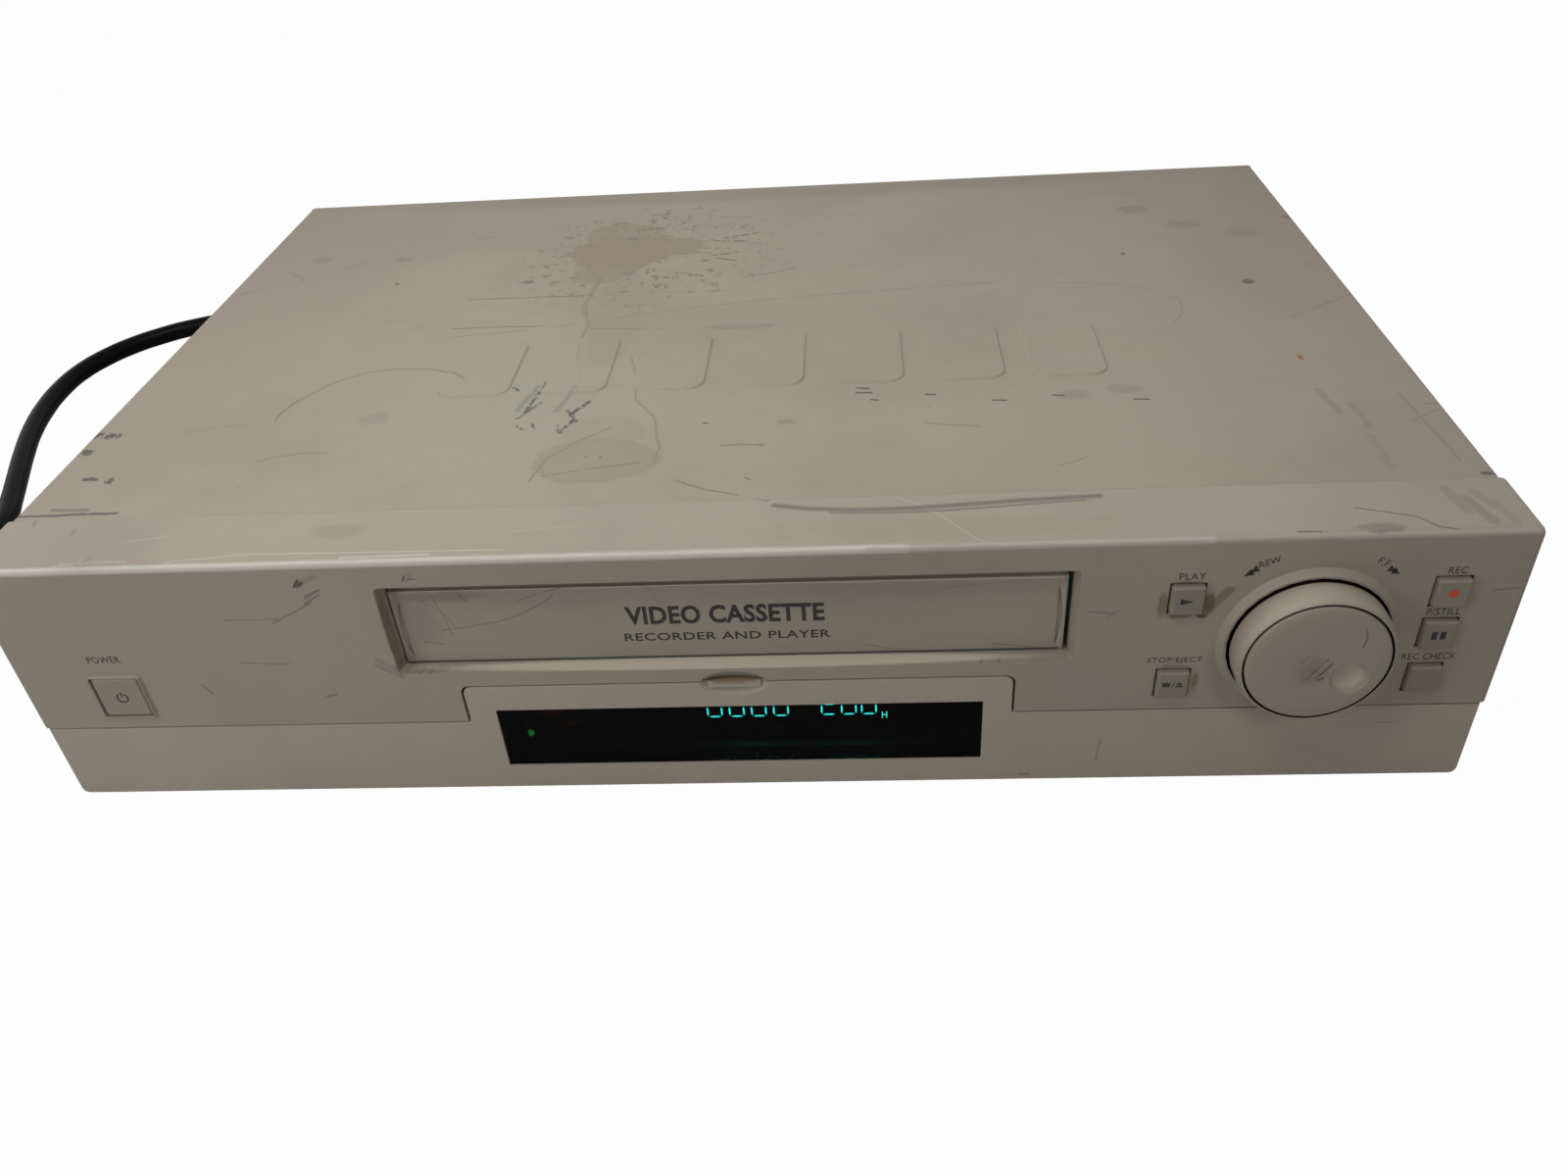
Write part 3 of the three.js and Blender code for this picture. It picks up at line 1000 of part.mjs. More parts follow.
function cassetteBasket() {
  const b = basket;
  const outer = b.inner + b.sheet;
  let body = block(-outer, outer, b.front, b.rear, basketHigh, basketHigh + b.sheet);
  body = body.subtract(block(-b.inner + b.windowInset, b.inner - b.windowInset, b.front + b.windowInset,
    b.rear + over, basketHigh - over, basketHigh + b.sheet + over));
  const tongueX = b.inner - b.windowInset - b.springWide;
  for (const side of [-1, 1]) {
    const s = (x0, x1, ...rest) => (side > 0 ? block(x0, x1, ...rest) : block(-x1, -x0, ...rest));
    body = join(body,
      s(b.inner, outer, b.front, b.rear, basketLow - b.sheet, basketHigh + b.sheet),
      s(b.inner - b.ledge, outer, b.front, b.rear, basketLow - b.sheet, basketLow),
      s(b.inner - b.stop, outer, b.rear, b.rear + b.sheet, basketLow - b.sheet, basketHigh + b.sheet),
      s(tongueX - b.springWide, tongueX, b.front, b.front + b.springLong, basketHigh,
      basketHigh + b.sheet));
    for (const y of [b.pinFront, b.pinRear]) {
      const from = side > 0 ? b.inner + b.sheet / 2 : -bracketInner + gap;
      body = body.add(rod('x', [y, pinLow], b.pin, from, from + bracketInner - gap - b.inner - b.sheet / 2,
        pinSides));
    }
  }
  place('cassette_basket', body, 'steel');
}

function loadingRack() {
  const r = rack;
  const high = pinLow + r.abovePin;
  const plateShape = polygon([[r.front, r.low], [r.rear, r.low], [r.rear, high], [r.front, high]]);
  const holeLow = pinLow - basket.travelDown - basket.pin - over;
  const holeHigh = pinLow + basket.pin + over;
  plateShape.holes.push(polygon([
    [r.slotFront, holeLow], [r.slotFront, holeHigh], [r.slotFront + r.slotWide, holeHigh],
    [r.slotFront + r.slotWide, holeLow],
  ]));
  const plate = upright(plateShape, rackInner, rackInner + r.sheet);
  const pitch = Math.PI * cam.module;
  const tip = rackPitchX - cam.module * tooth.addShare;
  const valley = rackPitchX + cam.module * tooth.dedendShare;
  const last = cam.y + (r.toothFirst + 0.5) * pitch;
  const points = [[valley + r.armWide, r.rear - over], [valley + r.armWide, last + pitch]];
  for (let i = 0; i < r.teeth; i += 1) {
    const middle = last - i * pitch;
    points.push([valley, middle + pitch * tooth.rootShare], [tip, middle + pitch * tooth.tipShare],
      [tip, middle - pitch * tooth.tipShare], [valley, middle - pitch * tooth.rootShare]);
  }
  points.push([valley, r.rear - over]);
  const arm = flat(polygon(points), cam.low, cam.low + cam.thick);
  const neck = block(rackInner, valley + r.armWide, r.rear - r.armWide, r.rear, cam.low,
    cam.low + cam.thick);
  place('loading_rack', join(plate, arm, neck), 'white', [rackPitchX, cam.y, cam.low]);
}

function camAndWorm() {
  const top = cam.low + cam.thick;
  let gear = flat(gearOutline([camX, cam.y], cam.teeth, cam.module), cam.low, top);
  gear = gear.add(rod('z', [camX, cam.y], cam.hub, cam.low, top + cam.hubHigh));
  gear = gear.subtract(rod('z', [camX, cam.y], cam.bore, cam.low - over, top + cam.hubHigh + over,
    pinSides));
  const track = new THREE.Shape();
  track.absarc(camX, cam.y, cam.slotRadius + cam.slotWide / 2, 0, Math.PI);
  track.absarc(camX, cam.y, cam.slotRadius - cam.slotWide / 2, Math.PI, 0, true);
  track.closePath();
  gear = gear.subtract(flat(track, top - cam.slotWide / 2, top + over, pinSides));
  place('cam_gear', gear, 'white', [camX, cam.y, cam.low]);
  const thread = new HelixCurve(wormLeft + worm.pitch, wormY, wormZ, worm.core, worm.pitch, worm.turns);
  const ridgeHalf = worm.pitch * worm.ridgeShare;
  const ridge = polygon([[-ridgeHalf, -worm.sink], [ridgeHalf, -worm.sink], [0, worm.radius - worm.core]]);
  const wormEnd = wormLeft + worm.pitch * (worm.turns + worm.plainTurns);
  const body = join(
    rod('x', [wormY, wormZ], worm.core, wormLeft, wormEnd),
    rod('x', [wormY, wormZ], worm.shaft, motorRight + motor.bossLong + gap, wormRight, pinSides),
    ridgeAlong(thread, ridge));
  place('loading_worm', body, 'white', [wormLeft, wormY, wormZ]);
  const deckSeat = deckTop + gap;
  const can = join(
    rod('x', [wormY, wormZ], motor.radius, motorLeft, motorRight),
    rod('x', [wormY, wormZ], motor.boss, motorRight - over, motorRight + motor.bossLong, pinSides),
    block(motorLeft, motorRight, wormY - motor.saddleHalf, wormY + motor.saddleHalf, deckSeat, wormZ));
  place('loading_motor', can, 'steel', [motorLeft, wormY, wormZ]);
}

class HelixCurve extends THREE.Curve {
  constructor(x, y, z, radius, pitch, turns) {
    super();
    Object.assign(this, { x, y, z, radius, pitch, turns });
  }

  getPoint(share) {
    const angle = 2 * Math.PI * this.turns * share;
    return new THREE.Vector3(this.x + this.pitch * this.turns * share,
      this.y + this.radius * Math.cos(angle),
      this.z + this.radius * Math.sin(angle));
  }
}

// A ridge wound along x: the section's first number runs along x, its second out from the axis
function ridgeAlong(curve, section) {
  const steps = Math.round(curve.turns * rodSides);
  const points = section.getPoints();
  points.pop();
  const positions = [];
  for (let i = 0; i <= steps; i += 1) {
    const share = i / steps;
    const centre = curve.getPoint(share);
    const angle = 2 * Math.PI * curve.turns * share;
    for (const point of points) {
      positions.push(centre.x + point.x, centre.y + point.y * Math.cos(angle),
        centre.z + point.y * Math.sin(angle));
    }
  }
  const index = [];
  const n = points.length;
  for (let i = 0; i < steps; i += 1) {
    for (let j = 0; j < n; j += 1) {
      const [a, b] = [i * n + j, i * n + (j + 1) % n];
      index.push(a, b, a + n, b, b + n, a + n);
    }
  }
  for (let j = 1; j < n - 1; j += 1) {
    index.push(0, j + 1, j, steps * n, steps * n + j, steps * n + j + 1);
  }
  const geometry = new THREE.BufferGeometry();
  geometry.setAttribute('position', new THREE.Float32BufferAttribute(positions, 3));
  geometry.setIndex(index);
  return facingOut(geometry);
}

// The solid of a mesh wound by formula, turned so that its faces point out
function facingOut(geometry) {
  const body = solid(geometry);
  if (body.volume() > 0) return body;
  const index = Array.from(geometry.index.array);
  for (let i = 0; i < index.length; i += 3) [index[i], index[i + 1]] = [index[i + 1], index[i]];
  geometry.setIndex(index);
  return solid(geometry);
}

function headDrum() {
  const d = drum;
  const tilted = new THREE.Group();
  tilted.position.set(d.x, d.y, d.z);
  tilted.rotation.x = THREE.MathUtils.degToRad(d.tilt);
  recorder.add(tilted);
  const lowerProfile = [
    [0, -d.lowerDown], [d.radius, -d.lowerDown], [d.radius, d.lowerUp - d.rabbet * 2],
    [d.radius - d.rabbet, d.lowerUp],
    [0, d.lowerUp],
  ];
  const lean = new THREE.Matrix4().makeRotationX(-THREE.MathUtils.degToRad(d.tilt));
  const stemHigh = d.z - deckTop - gap;
  const stem = new THREE.CylinderGeometry(d.base, d.base, stemHigh, roundSides);
  stem.rotateX(Math.PI / 2).translate(0, 0, -stemHigh / 2).applyMatrix4(lean);
  const low = turned('z', [0, 0], lowerProfile, wheelSides).add(solid(stem));
  place('lower_drum', low, 'drumMetal', [0, 0, 0], tilted);
  const start = d.lowerUp + d.slit;
  const top = d.upperUp;
  const upperProfile = [
    [0, start], [d.radius - d.rabbet, start], [d.radius, start + d.rabbet * 2], [d.radius, top],
    [d.well, top], [d.well, top - d.wellDeep], [d.hub, top - d.wellDeep], [d.hub, top + d.hubHigh],
    [0, top + d.hubHigh],
  ];
  let upper = turned('z', [0, 0], upperProfile, wheelSides);
  for (const side of [-1, 1]) {
    upper = upper.add(rod('z', [side * d.screwRadius, 0], d.screw, top - d.wellDeep - over, top, pinSides));
  }
  place('upper_drum', upper, 'drumMetal', [0, 0, 0], tilted);
}

function reels() {
  const r = reel;
  const base = deckTop + gap;
  for (const [name, side] of [['supply_reel', -1], ['take_up_reel', 1]]) {
    const at = [side * r.x, r.y];
    const flangeTop = base + r.flange;
    const hubTop = flangeTop + r.hubHigh;
    const top = hubTop + r.splineHigh;
    const profile = [
      [r.bore, base], [r.radius, base], [r.radius, flangeTop], [r.hub, flangeTop], [r.hub, hubTop],
      [r.spline, hubTop], [r.splineTip, top], [r.bore, top], [r.bore, base],
    ];
    let body = turned('z', at, profile, rodSides);
    const finHigh = r.splineHigh - r.finOut;
    for (let i = 0; i < r.fins; i += 1) {
      const fin = new THREE.BoxGeometry(r.spline + r.finOut - r.bore - over, r.fin, finHigh);
      fin.translate((r.spline + r.finOut + r.bore + over) / 2, 0, hubTop + finHigh / 2);
      fin.rotateZ(i * 2 * Math.PI / r.fins).translate(at[0], at[1], 0);
      body = body.add(solid(fin));
    }
    place(name, body, 'black', [at[0], at[1], base]);
  }
}

// Capstan with flywheel and pulley, the belt and the clutch pulley that it drives
function tapeDrive() {
  const c = capstan;
  const wheelTop = c.low + c.wheelThick;
  const beltLow = wheelTop + runGap;
  const profile = [
    [0, c.low], [c.flywheel, c.low], [c.flywheel, wheelTop], [c.pulley, wheelTop],
    [c.pulley, wheelTop + c.pulleyThick],
    [c.shaft, wheelTop + c.pulleyThick], [c.shaft, c.high], [0, c.high],
  ];
  place('capstan', turned('z', [c.x, c.y], profile, wheelSides), 'drumMetal', [c.x, c.y, c.low]);
  const k = clutch;
  const gearLow = deckTop + gap;
  const pulley = join(
    rod('z', [k.x, k.y], k.radius, k.low, k.low + k.thick, wheelSides),
    rod('z', [k.x, k.y], k.shaft, k.low, gearLow + k.gearThick, pinSides),
    flat(gearOutline([k.x, k.y], k.gear, cam.module), gearLow, gearLow + k.gearThick));
  place('clutch_pulley', pulley, 'black', [k.x, k.y, k.low]);
  const inside = beltOutline(gap);
  const outside = beltOutline(gap + belt.thick);
  outside.holes.push(inside);
  place('drive_belt', flat(outside, beltLow, beltLow + belt.high, pinSides), 'rubber');
}

// The outline of a belt round both pulleys, a given distance off them
function beltOutline(off) {
  const [r1, r2] = [capstan.pulley + off, clutch.radius + off];
  const [dx, dy] = [clutch.x - capstan.x, clutch.y - capstan.y];
  const turn = Math.atan2(dy, dx);
  const wrap = Math.acos((r1 - r2) / Math.hypot(dx, dy));
  const shape = new THREE.Shape();
  shape.absarc(capstan.x, capstan.y, r1, turn + wrap, turn + 2 * Math.PI - wrap);
  shape.absarc(clutch.x, clutch.y, r2, turn - wrap, turn + wrap);
  shape.closePath();
  return shape;
}

function arms() {
  const p = pinch;
  const [dx, dy] = [capstan.x - p.pivotX, capstan.y - p.pivotY];
  const apart = Math.hypot(dx, dy);
  const meet = p.roller + capstan.shaft + gap;
  const inside = Math.acos((p.arm ** 2 + apart ** 2 - meet ** 2) / (2 * p.arm * apart));
  const rest = Math.atan2(dy, dx) - inside - THREE.MathUtils.degToRad(p.swing);
  const end = [p.pivotX + p.arm * Math.cos(rest), p.pivotY + p.arm * Math.sin(rest)];
  const armTop = p.low + p.thick;
  const arm = cut(join(
    flat(stadium([p.pivotX, p.pivotY], end, p.width / 2), p.low, armTop, pinSides),
    rod('z', [p.pivotX, p.pivotY], p.boss, p.low, armTop + p.boss),
    rod('z', end, p.axle, p.low, p.rollerLow + p.rollerHigh, pinSides)),
  rod('z', [p.pivotX, p.pivotY], p.bore, p.low - over, armTop + p.boss + over, pinSides));
  place('pinch_arm', arm, 'steel', [p.pivotX, p.pivotY, p.low]);
  const rollerTop = p.rollerLow + p.rollerHigh;
  const rollerProfile = [
    [p.axleBore, p.rollerLow], [p.roller, p.rollerLow], [p.roller, rollerTop], [p.axleBore, rollerTop],
    [p.axleBore, p.rollerLow],
  ];
  place('pinch_roller', turned('z', end, rollerProfile, rodSides), 'rubber', [end[0], end[1], p.rollerLow]);
  const t = tension;
  const tArm = cut(join(
    flat(stadium([t.pivotX, t.pivotY], [t.endX, t.endY], t.width / 2), t.low, t.low + t.thick, pinSides),
    rod('z', [t.endX, t.endY], t.post, t.low, t.postHigh, pinSides)),
  rod('z', [t.pivotX, t.pivotY], t.bore, t.low - over, t.low + t.thick + over, pinSides));
  place('tension_arm', tArm, 'steel', [t.pivotX, t.pivotY, t.low]);
}

function tapeGuides() {
  const g = guide;
  for (const [name, [at]] of Object.entries(guidePaths)) {
    const base = deckTop + gap;
    const profile = [
      [0, base - g.stemDrop], [g.stem, base - g.stemDrop], [g.stem, base], [g.radius, base],
      [g.radius, base + g.foot], [g.post, base + g.foot], [g.post, g.rollerLow], [g.roller, g.rollerLow],
      [g.roller, g.rollerHigh], [g.cap, g.rollerHigh], [g.cap, g.top], [0, g.top],
    ];
    place(name, turned('z', at, profile, pinSides), 'drumMetal', [at[0], at[1], base]);
  }
}

function heads() {
  for (const [name, h] of [['erase_head', erase], ['audio_control_head', audio]]) {
    const body = join(
      block(h.x - h.width / 2, h.x + h.width / 2, h.y - h.depth / 2, h.y + h.depth / 2, h.low, h.high),
      rod('z', [h.x, h.y], h.post, deckTop + gap, h.low + over, pinSides));
    place(name, body, 'drumMetal');
  }
}

// A free cord through points of x, y and height above the surface, as one tube
function cordTube(points, sides, step) {
  const radius = lead.diameter / 2;
  const path = new THREE.CatmullRomCurve3(points.map(([x, y, height]) => new THREE.Vector3(x, y,
    height - foot.height)), false, 'centripetal');
  const section = polygon(Array.from({ length: sides }, (_, i) => {
    const angle = 2 * Math.PI * (i + 0.5) / sides;
    return [radius * Math.cos(angle), radius * Math.sin(angle)];
  }));
  const steps = Math.round(path.getLength() / step);
  return { body: solid(new THREE.ExtrudeGeometry(section, { steps, extrudePath: path })), path };
}

// The coil's centre line: in by a spiral, up a layer where it reverses, and out again
function coilRadius(turn) {
  const middle = coil.turns / 2;
  return coil.radius - coil.pitch * (middle - Math.abs(turn - middle));
}

function coilPoint(turn) {
  const radius = coilRadius(turn);
  const angle = Math.PI / 2 - 2 * Math.PI * turn;
  const climbed = THREE.MathUtils.smoothstep(turn, coil.climbStart, coil.climbStart + coil.climbTurns);
  const fromTie = Math.abs(THREE.MathUtils.radToDeg(Math.atan2(Math.sin(angle), Math.cos(angle))));
  const bump = tie.lift * (1 - THREE.MathUtils.smoothstep(fromTie, 0, tie.reachDegrees));
  return [coil.x + radius * Math.cos(angle), coil.y + radius * Math.sin(angle),
    lead.rest + coil.layer * climbed + bump];
}

// Least gap of a cord to itself, between stretches that are further apart along it than a bend
function leastGap(path) {
  const points = path.getSpacedPoints(coil.turns * coil.loopSteps * 4);
  const apart = Math.round(coil.loopSteps * 2);
  let least = Infinity;
  for (let i = 0; i < points.length; i += 1) {
    for (let j = i + apart; j < points.length; j += 1) least = Math.min(least,
      points[i].distanceTo(points[j]));
  }
  return least - lead.diameter;
}

function mainsLead() {
  const c = connector;
  const [x, z] = [inletX, inlet.z];
  const seat = rearFace + gap + inlet.flangeThick;
  const gripEnd = seat + gap + c.gripLong;
  const leadStart = gripEnd + c.reliefLong;
  const [nw, nh] = [inlet.openWide - 2 * c.fit, inlet.openHigh - 2 * c.fit];
  const [gw, gh] = [c.gripWide, c.gripHigh];
  let grip = join(
    block(x - nw / 2, x + nw / 2, seat - c.noseIn, seat + over, z - nh / 2, z + nh / 2),
    faced(roundedRect(x - gw / 2, x + gw / 2, z - gh / 2, z + gh / 2, c.round), seat + gap, gripEnd),
    rod('y', [x, z], c.relief, gripEnd - over, leadStart, lead.sides, c.reliefEnd));
  const noseEnd = seat - c.noseIn;
  for (const [bx, bz] of bladePlaces()) {
    const [sw, sh] = [inlet.bladeWide + 2 * c.slitFit, inlet.bladeHigh + 2 * c.slitFit];
    grip = grip.subtract(block(bx - sw / 2, bx + sw / 2, noseEnd - over, noseEnd + c.slitDeep, bz - sh / 2,
      bz + sh / 2));
  }
  place('cord_connector', grip, 'black');

  const straight = lead.diameter;
  const coilStart = coilPoint(0);
  const coilEnd = coilPoint(coil.turns);
  const inEnd = [coilStart[0] - straight, coilStart[1], coilStart[2]];
  const outStart = [coilEnd[0] - straight, coilEnd[1], coilEnd[2]];
  const shift = ([px, py, pz], along) => [px + along, py, pz];
  const leadPoints = [[x, leadStart + gap, z + foot.height], ...leadRoute, shift(inEnd, -straight - gap),
    shift(inEnd, -gap)];
  const leadTube = cordTube(leadPoints, lead.sides, lead.step);
  place('cord_lead', leadTube.body, 'black');

  const turns = Math.round(coil.turns * coil.loopSteps);
  const wound = Array.from({ length: turns + 1 }, (_, i) => coilPoint(coil.turns * i / turns));
  const coilStep = 2 * Math.PI * coilRadius(coil.turns / 4) / coil.loopSteps;
  const coilTube = cordTube([inEnd, ...wound, outStart], coil.sides, coilStep);
  place('cord_coil', coilTube.body, 'black');
  console.log(`mains lead: the coil's least gap to itself is ${leastGap(coilTube.path).toFixed(2)} mm`);

  const [tipX, tipY, tipZ] = runRoute[runRoute.length - 1];
  const runTube = cordTube([shift(outStart, -gap), shift(outStart, -straight - gap), ...runRoute],
    lead.sides, lead.step);
  place('cord_run', runTube.body, 'black');
  const whole = [leadTube, coilTube, runTube].reduce((sum, tube) => sum + tube.path.getLength(), 0);
  console.log(`mains lead: ${whole.toFixed(0)} mm of cord between connector and plug`);

  const t = tie.thick;
  const clear = lead.diameter / 2 + tie.slack;
  const lastTurn = coil.turns - tie.atTurn;
  const left = coil.x + coilRadius(lastTurn - tie.turnsHeld + 1) - clear;
  const right = coil.x + coilRadius(lastTurn) + clear;
  const low = coilPoint(tie.atTurn)[2] - clear - foot.height;
  const high = coilPoint(lastTurn)[2] + clear - foot.height;
  const band = roundedRect(left - t, right + t, low - t, high + t, t * 2);
  band.holes.push(roundedRect(left, right, low, high, t));
  place('cord_tie', faced(band, coil.y - tie.width / 2, coil.y + tie.width / 2, 2), 'black');

  const before = runRoute[runRoute.length - 2];
  const heading = Math.atan2(tipY - before[1], tipX - before[0]);
  const end = new THREE.Group();
  end.position.set(tipX, tipY, tipZ - foot.height);
  end.rotation.z = heading;
  recorder.add(end);
  const [bw, bh] = [plug.wide, plug.high];
  const bodyStart = gap + plug.reliefLong;
  const bodyEnd = bodyStart + plug.long;
  let body = join(
    rod('x', [0, 0], plug.relief, gap, bodyStart + over, lead.sides, plug.reliefEnd),
    upright(roundedRect(-bw / 2, bw / 2, -bh / 2, bh / 2, plug.round), bodyStart, bodyEnd),
    rod('x', [0, plug.pinUp], plug.pin, bodyEnd - over, bodyEnd + plug.pinLong, pinSides));
  for (const side of [-1, 1]) {
    const [across, tall] = [plug.bladeThick / 2, plug.bladeTall / 2];
    const middle = side * plug.bladeSpread;
    body = body.add(block(bodyEnd - over, bodyEnd + plug.bladeLong, middle - across, middle + across,
      -plug.bladeDown - tall, -plug.bladeDown + tall));
  }
  place('cord_plug', body, 'black', [0, 0, 0], end);
}

frontPanel();
dropDoor();
doorWindow();
cassetteFlap();
keys();
shuttleAndJog();
frontBoards();
topCover();
basePan();
feet();
coverScrews();
rearPanel();
sockets();
electronics();
deckChassis();
brackets();
cassetteBasket();
loadingRack();
camAndWorm();
headDrum();
reels();
tapeDrive();
arms();
tapeGuides();
heads();
mainsLead();

export default root;
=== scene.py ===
import math

import bpy
from mathutils import Matrix, Vector


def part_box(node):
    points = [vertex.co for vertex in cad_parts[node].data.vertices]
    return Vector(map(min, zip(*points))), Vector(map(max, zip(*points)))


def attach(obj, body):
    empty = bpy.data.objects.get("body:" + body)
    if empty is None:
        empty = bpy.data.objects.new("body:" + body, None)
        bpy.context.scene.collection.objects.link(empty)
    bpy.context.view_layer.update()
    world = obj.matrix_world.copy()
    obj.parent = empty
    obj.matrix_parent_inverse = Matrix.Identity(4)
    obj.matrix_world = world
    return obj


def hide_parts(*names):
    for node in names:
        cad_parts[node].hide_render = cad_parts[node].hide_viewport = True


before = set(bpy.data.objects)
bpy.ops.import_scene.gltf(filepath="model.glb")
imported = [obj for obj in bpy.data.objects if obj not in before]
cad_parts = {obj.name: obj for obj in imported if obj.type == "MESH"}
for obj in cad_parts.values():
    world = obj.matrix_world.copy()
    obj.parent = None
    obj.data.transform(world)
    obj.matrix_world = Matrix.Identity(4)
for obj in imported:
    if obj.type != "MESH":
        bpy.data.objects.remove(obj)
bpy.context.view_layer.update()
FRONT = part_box("drop_door")[0].y
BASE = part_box("front_panel")[0].z
MM = 0.001


# Places are given in millimetres from the middle of the front's lower edge
def at(x, y, z):
    return Vector((x * MM, FRONT + y * MM, BASE + z * MM))


# The desk that the recorder's feet and its lead lie on is at height nought
def on_desk(x, y, height):
    return Vector((x * MM, FRONT + y * MM, height * MM))


# Working steps that most pieces share
def select_none():
    bpy.ops.object.select_all(action="DESELECT")


def only(*pieces):
    select_none()
    for piece in pieces:
        piece.select_set(True)
    bpy.context.view_layer.objects.active = pieces[0]


def edit_mode():
    bpy.ops.object.mode_set(mode="EDIT")


def object_mode():
    bpy.ops.object.mode_set(mode="OBJECT")


def none_in_mesh():
    edit_mode()
    bpy.ops.mesh.select_all(action="DESELECT")
    object_mode()


def settled():
    bpy.ops.object.transform_apply(location=True, rotation=True, scale=True)
    return bpy.context.object


def placed(name, data):
    piece = bpy.data.objects.new(name, data)
    bpy.context.scene.collection.objects.link(piece)
    return piece


def named(piece, name):
    piece.name = piece.data.name = name
    return piece


def coat(piece, *materials):
    piece.data.materials.clear()
    for material in materials:
        piece.data.materials.append(material)


def round_edges(piece, width, angle):
    rounding = piece.modifiers.new("rounding", "BEVEL")
    rounding.limit_method = "ANGLE"
    rounding.angle_limit = math.radians(angle)
    rounding.width = width * MM
    rounding.segments = 2
    bpy.ops.object.modifier_apply(modifier="rounding")


# Shader graphs
class Graph:
    def __init__(self, tree):
        self.tree = tree

    def node(self, kind, **values):
        made = self.tree.nodes.new("ShaderNode" + kind)
        for name, value in values.items():
            setattr(made, name, value)
        return made

    def put(self, socket, value):
        if isinstance(value, bpy.types.NodeSocket):
            self.tree.links.new(value, socket)
        elif socket.type == "RGBA":
            socket.default_value = (*value, 1.0)
        elif value is not None:
            socket.default_value = value

    def fill(self, made, *values):
        for socket, value in zip(made.inputs, values):
            self.put(socket, value)
        return made.outputs[0]

    def math(self, operation, *values):
        return self.fill(self.node("Math", operation=operation), *values)

    def times(self, a, b):
        return self.math("MULTIPLY", a, b)

    def plus(self, a, b):
        return self.math("ADD", a, b)

    def less(self, a, b):
        return self.math("SUBTRACT", a, b)

    def per(self, a, b):
        return self.math("DIVIDE", a, b)

    def most(self, a, b):
        return self.math("MAXIMUM", a, b)

    def vector(self, operation, *values, output="Vector"):
        made = self.node("VectorMath", operation=operation)
        self.fill(made, *values)
        return made.outputs[output]

    def measure(self, operation, *values):
        return self.vector(operation, *values, output="Value")

    def scaled(self, place, scale):
        made = self.node("VectorMath", operation="SCALE")
        self.put(made.inputs["Scale"], scale)
        return self.fill(made, place)

    def joined(self, *parts):
        return self.fill(self.node("CombineXYZ"), *parts)

    def fade(self, value, low, high, to_low=0.0, to_high=1.0):
        return self.fill(self.node("MapRange", interpolation_type="SMOOTHSTEP", clamp=False),
                         value, low, high, to_low, to_high)

    def mix(self, share, a, b):
        made = self.node("Mix", data_type="RGBA")
        self.put(made.inputs["Factor"], share)
        self.put(made.inputs[6], a)
        self.put(made.inputs[7], b)
        return made.outputs[2]

    def noise(self, place, scale, detail=2.0, roughness=0.5, output="Fac"):
        made = self.node("TexNoise")
        values = {"Vector": place, "Scale": scale, "Detail": detail, "Roughness": roughness}
        for name, value in values.items():
            self.put(made.inputs[name], value)
        return made.outputs[output]

    def moved(self, place, location, scale=1):
        made = self.node("Mapping")
        self.put(made.inputs["Vector"], place)
        made.inputs["Location"].default_value = location
        made.inputs["Scale"].default_value = (scale, scale, scale)
        return made.outputs[0]

    def part(self, place, axis):
        made = self.node("SeparateXYZ")
        self.put(made.inputs[0], place)
        return made.outputs["XYZ".index(axis)]

    def use(self, group, **values):
        made = self.node("Group")
        made.node_tree = group
        for name, value in values.items():
            self.put(made.inputs[name.capitalize()], value)
        return made.outputs

    # Millimetres from the middle of the front's lower edge, on the piece itself
    def place(self):
        here = self.node("TexCoord").outputs["Object"]
        return self.moved(here, (0, -FRONT / MM, -BASE / MM), 1 / MM)


NOUGHT = (0.0, 0.0, 0.0)
COLOUR = "colour"
READ_KINDS = {float: "Float", tuple: "Vector", str: "Color"}
GIVEN_KINDS = {"Colour": "Color", "Normal": "Vector"}


# A node group that reads a place in millimetres and the inputs that are named here
def effect(name, outputs, **inputs):
    tree = bpy.data.node_groups.new(name, "ShaderNodeTree")
    inputs = {"Place": NOUGHT, **inputs}
    for label, value in inputs.items():
        kind = "NodeSocket" + READ_KINDS[type(value)]
        socket = tree.interface.new_socket(name=label, in_out="INPUT", socket_type=kind)
        if value != COLOUR:
            socket.default_value = value
    for label in outputs.split():
        kind = "NodeSocket" + GIVEN_KINDS.get(label, "Float")
        tree.interface.new_socket(name=label, in_out="OUTPUT", socket_type=kind)
    entry = tree.nodes.new("NodeGroupInput")
    leave = tree.nodes.new("NodeGroupOutput")
    return Graph(tree), leave.inputs, *[entry.outputs[label] for label in inputs]


# Slow drift of tone over a moulded or painted surface
def make_mottle():
    g, out, place, tone, shade, patch = effect("mottle", "Colour", Tone=COLOUR, Shade=COLOUR, Patch=60.0)
    wide = g.noise(place, g.per(1.0, patch), 3.0, 0.55)
    fine = g.noise(place, g.per(9.0, patch), 4.0, 0.6)
    share = g.plus(g.fade(wide, 0.35, 0.68, 0.0, 0.75), g.fade(fine, 0.3, 0.75, 0.0, 0.25))
    g.put(out["Colour"], g.mix(share, tone, shade))
    return g.tree


# Fine grain of moulded plastic or of paint over sheet steel, as a bump a tenth of a millimetre deep
def make_grain():
    g, out, place, pitch, depth = effect("grain", "Normal", Pitch=0.8, Depth=0.2)
    bump = g.node("Bump")
    g.put(bump.inputs["Strength"], depth)
    g.put(bump.inputs["Distance"], 0.1 * MM)
    g.put(bump.inputs["Height"], g.noise(place, g.per(1.0, pitch), 2.0, 0.6))
    g.put(out["Normal"], bump.outputs["Normal"])
    return g.tree


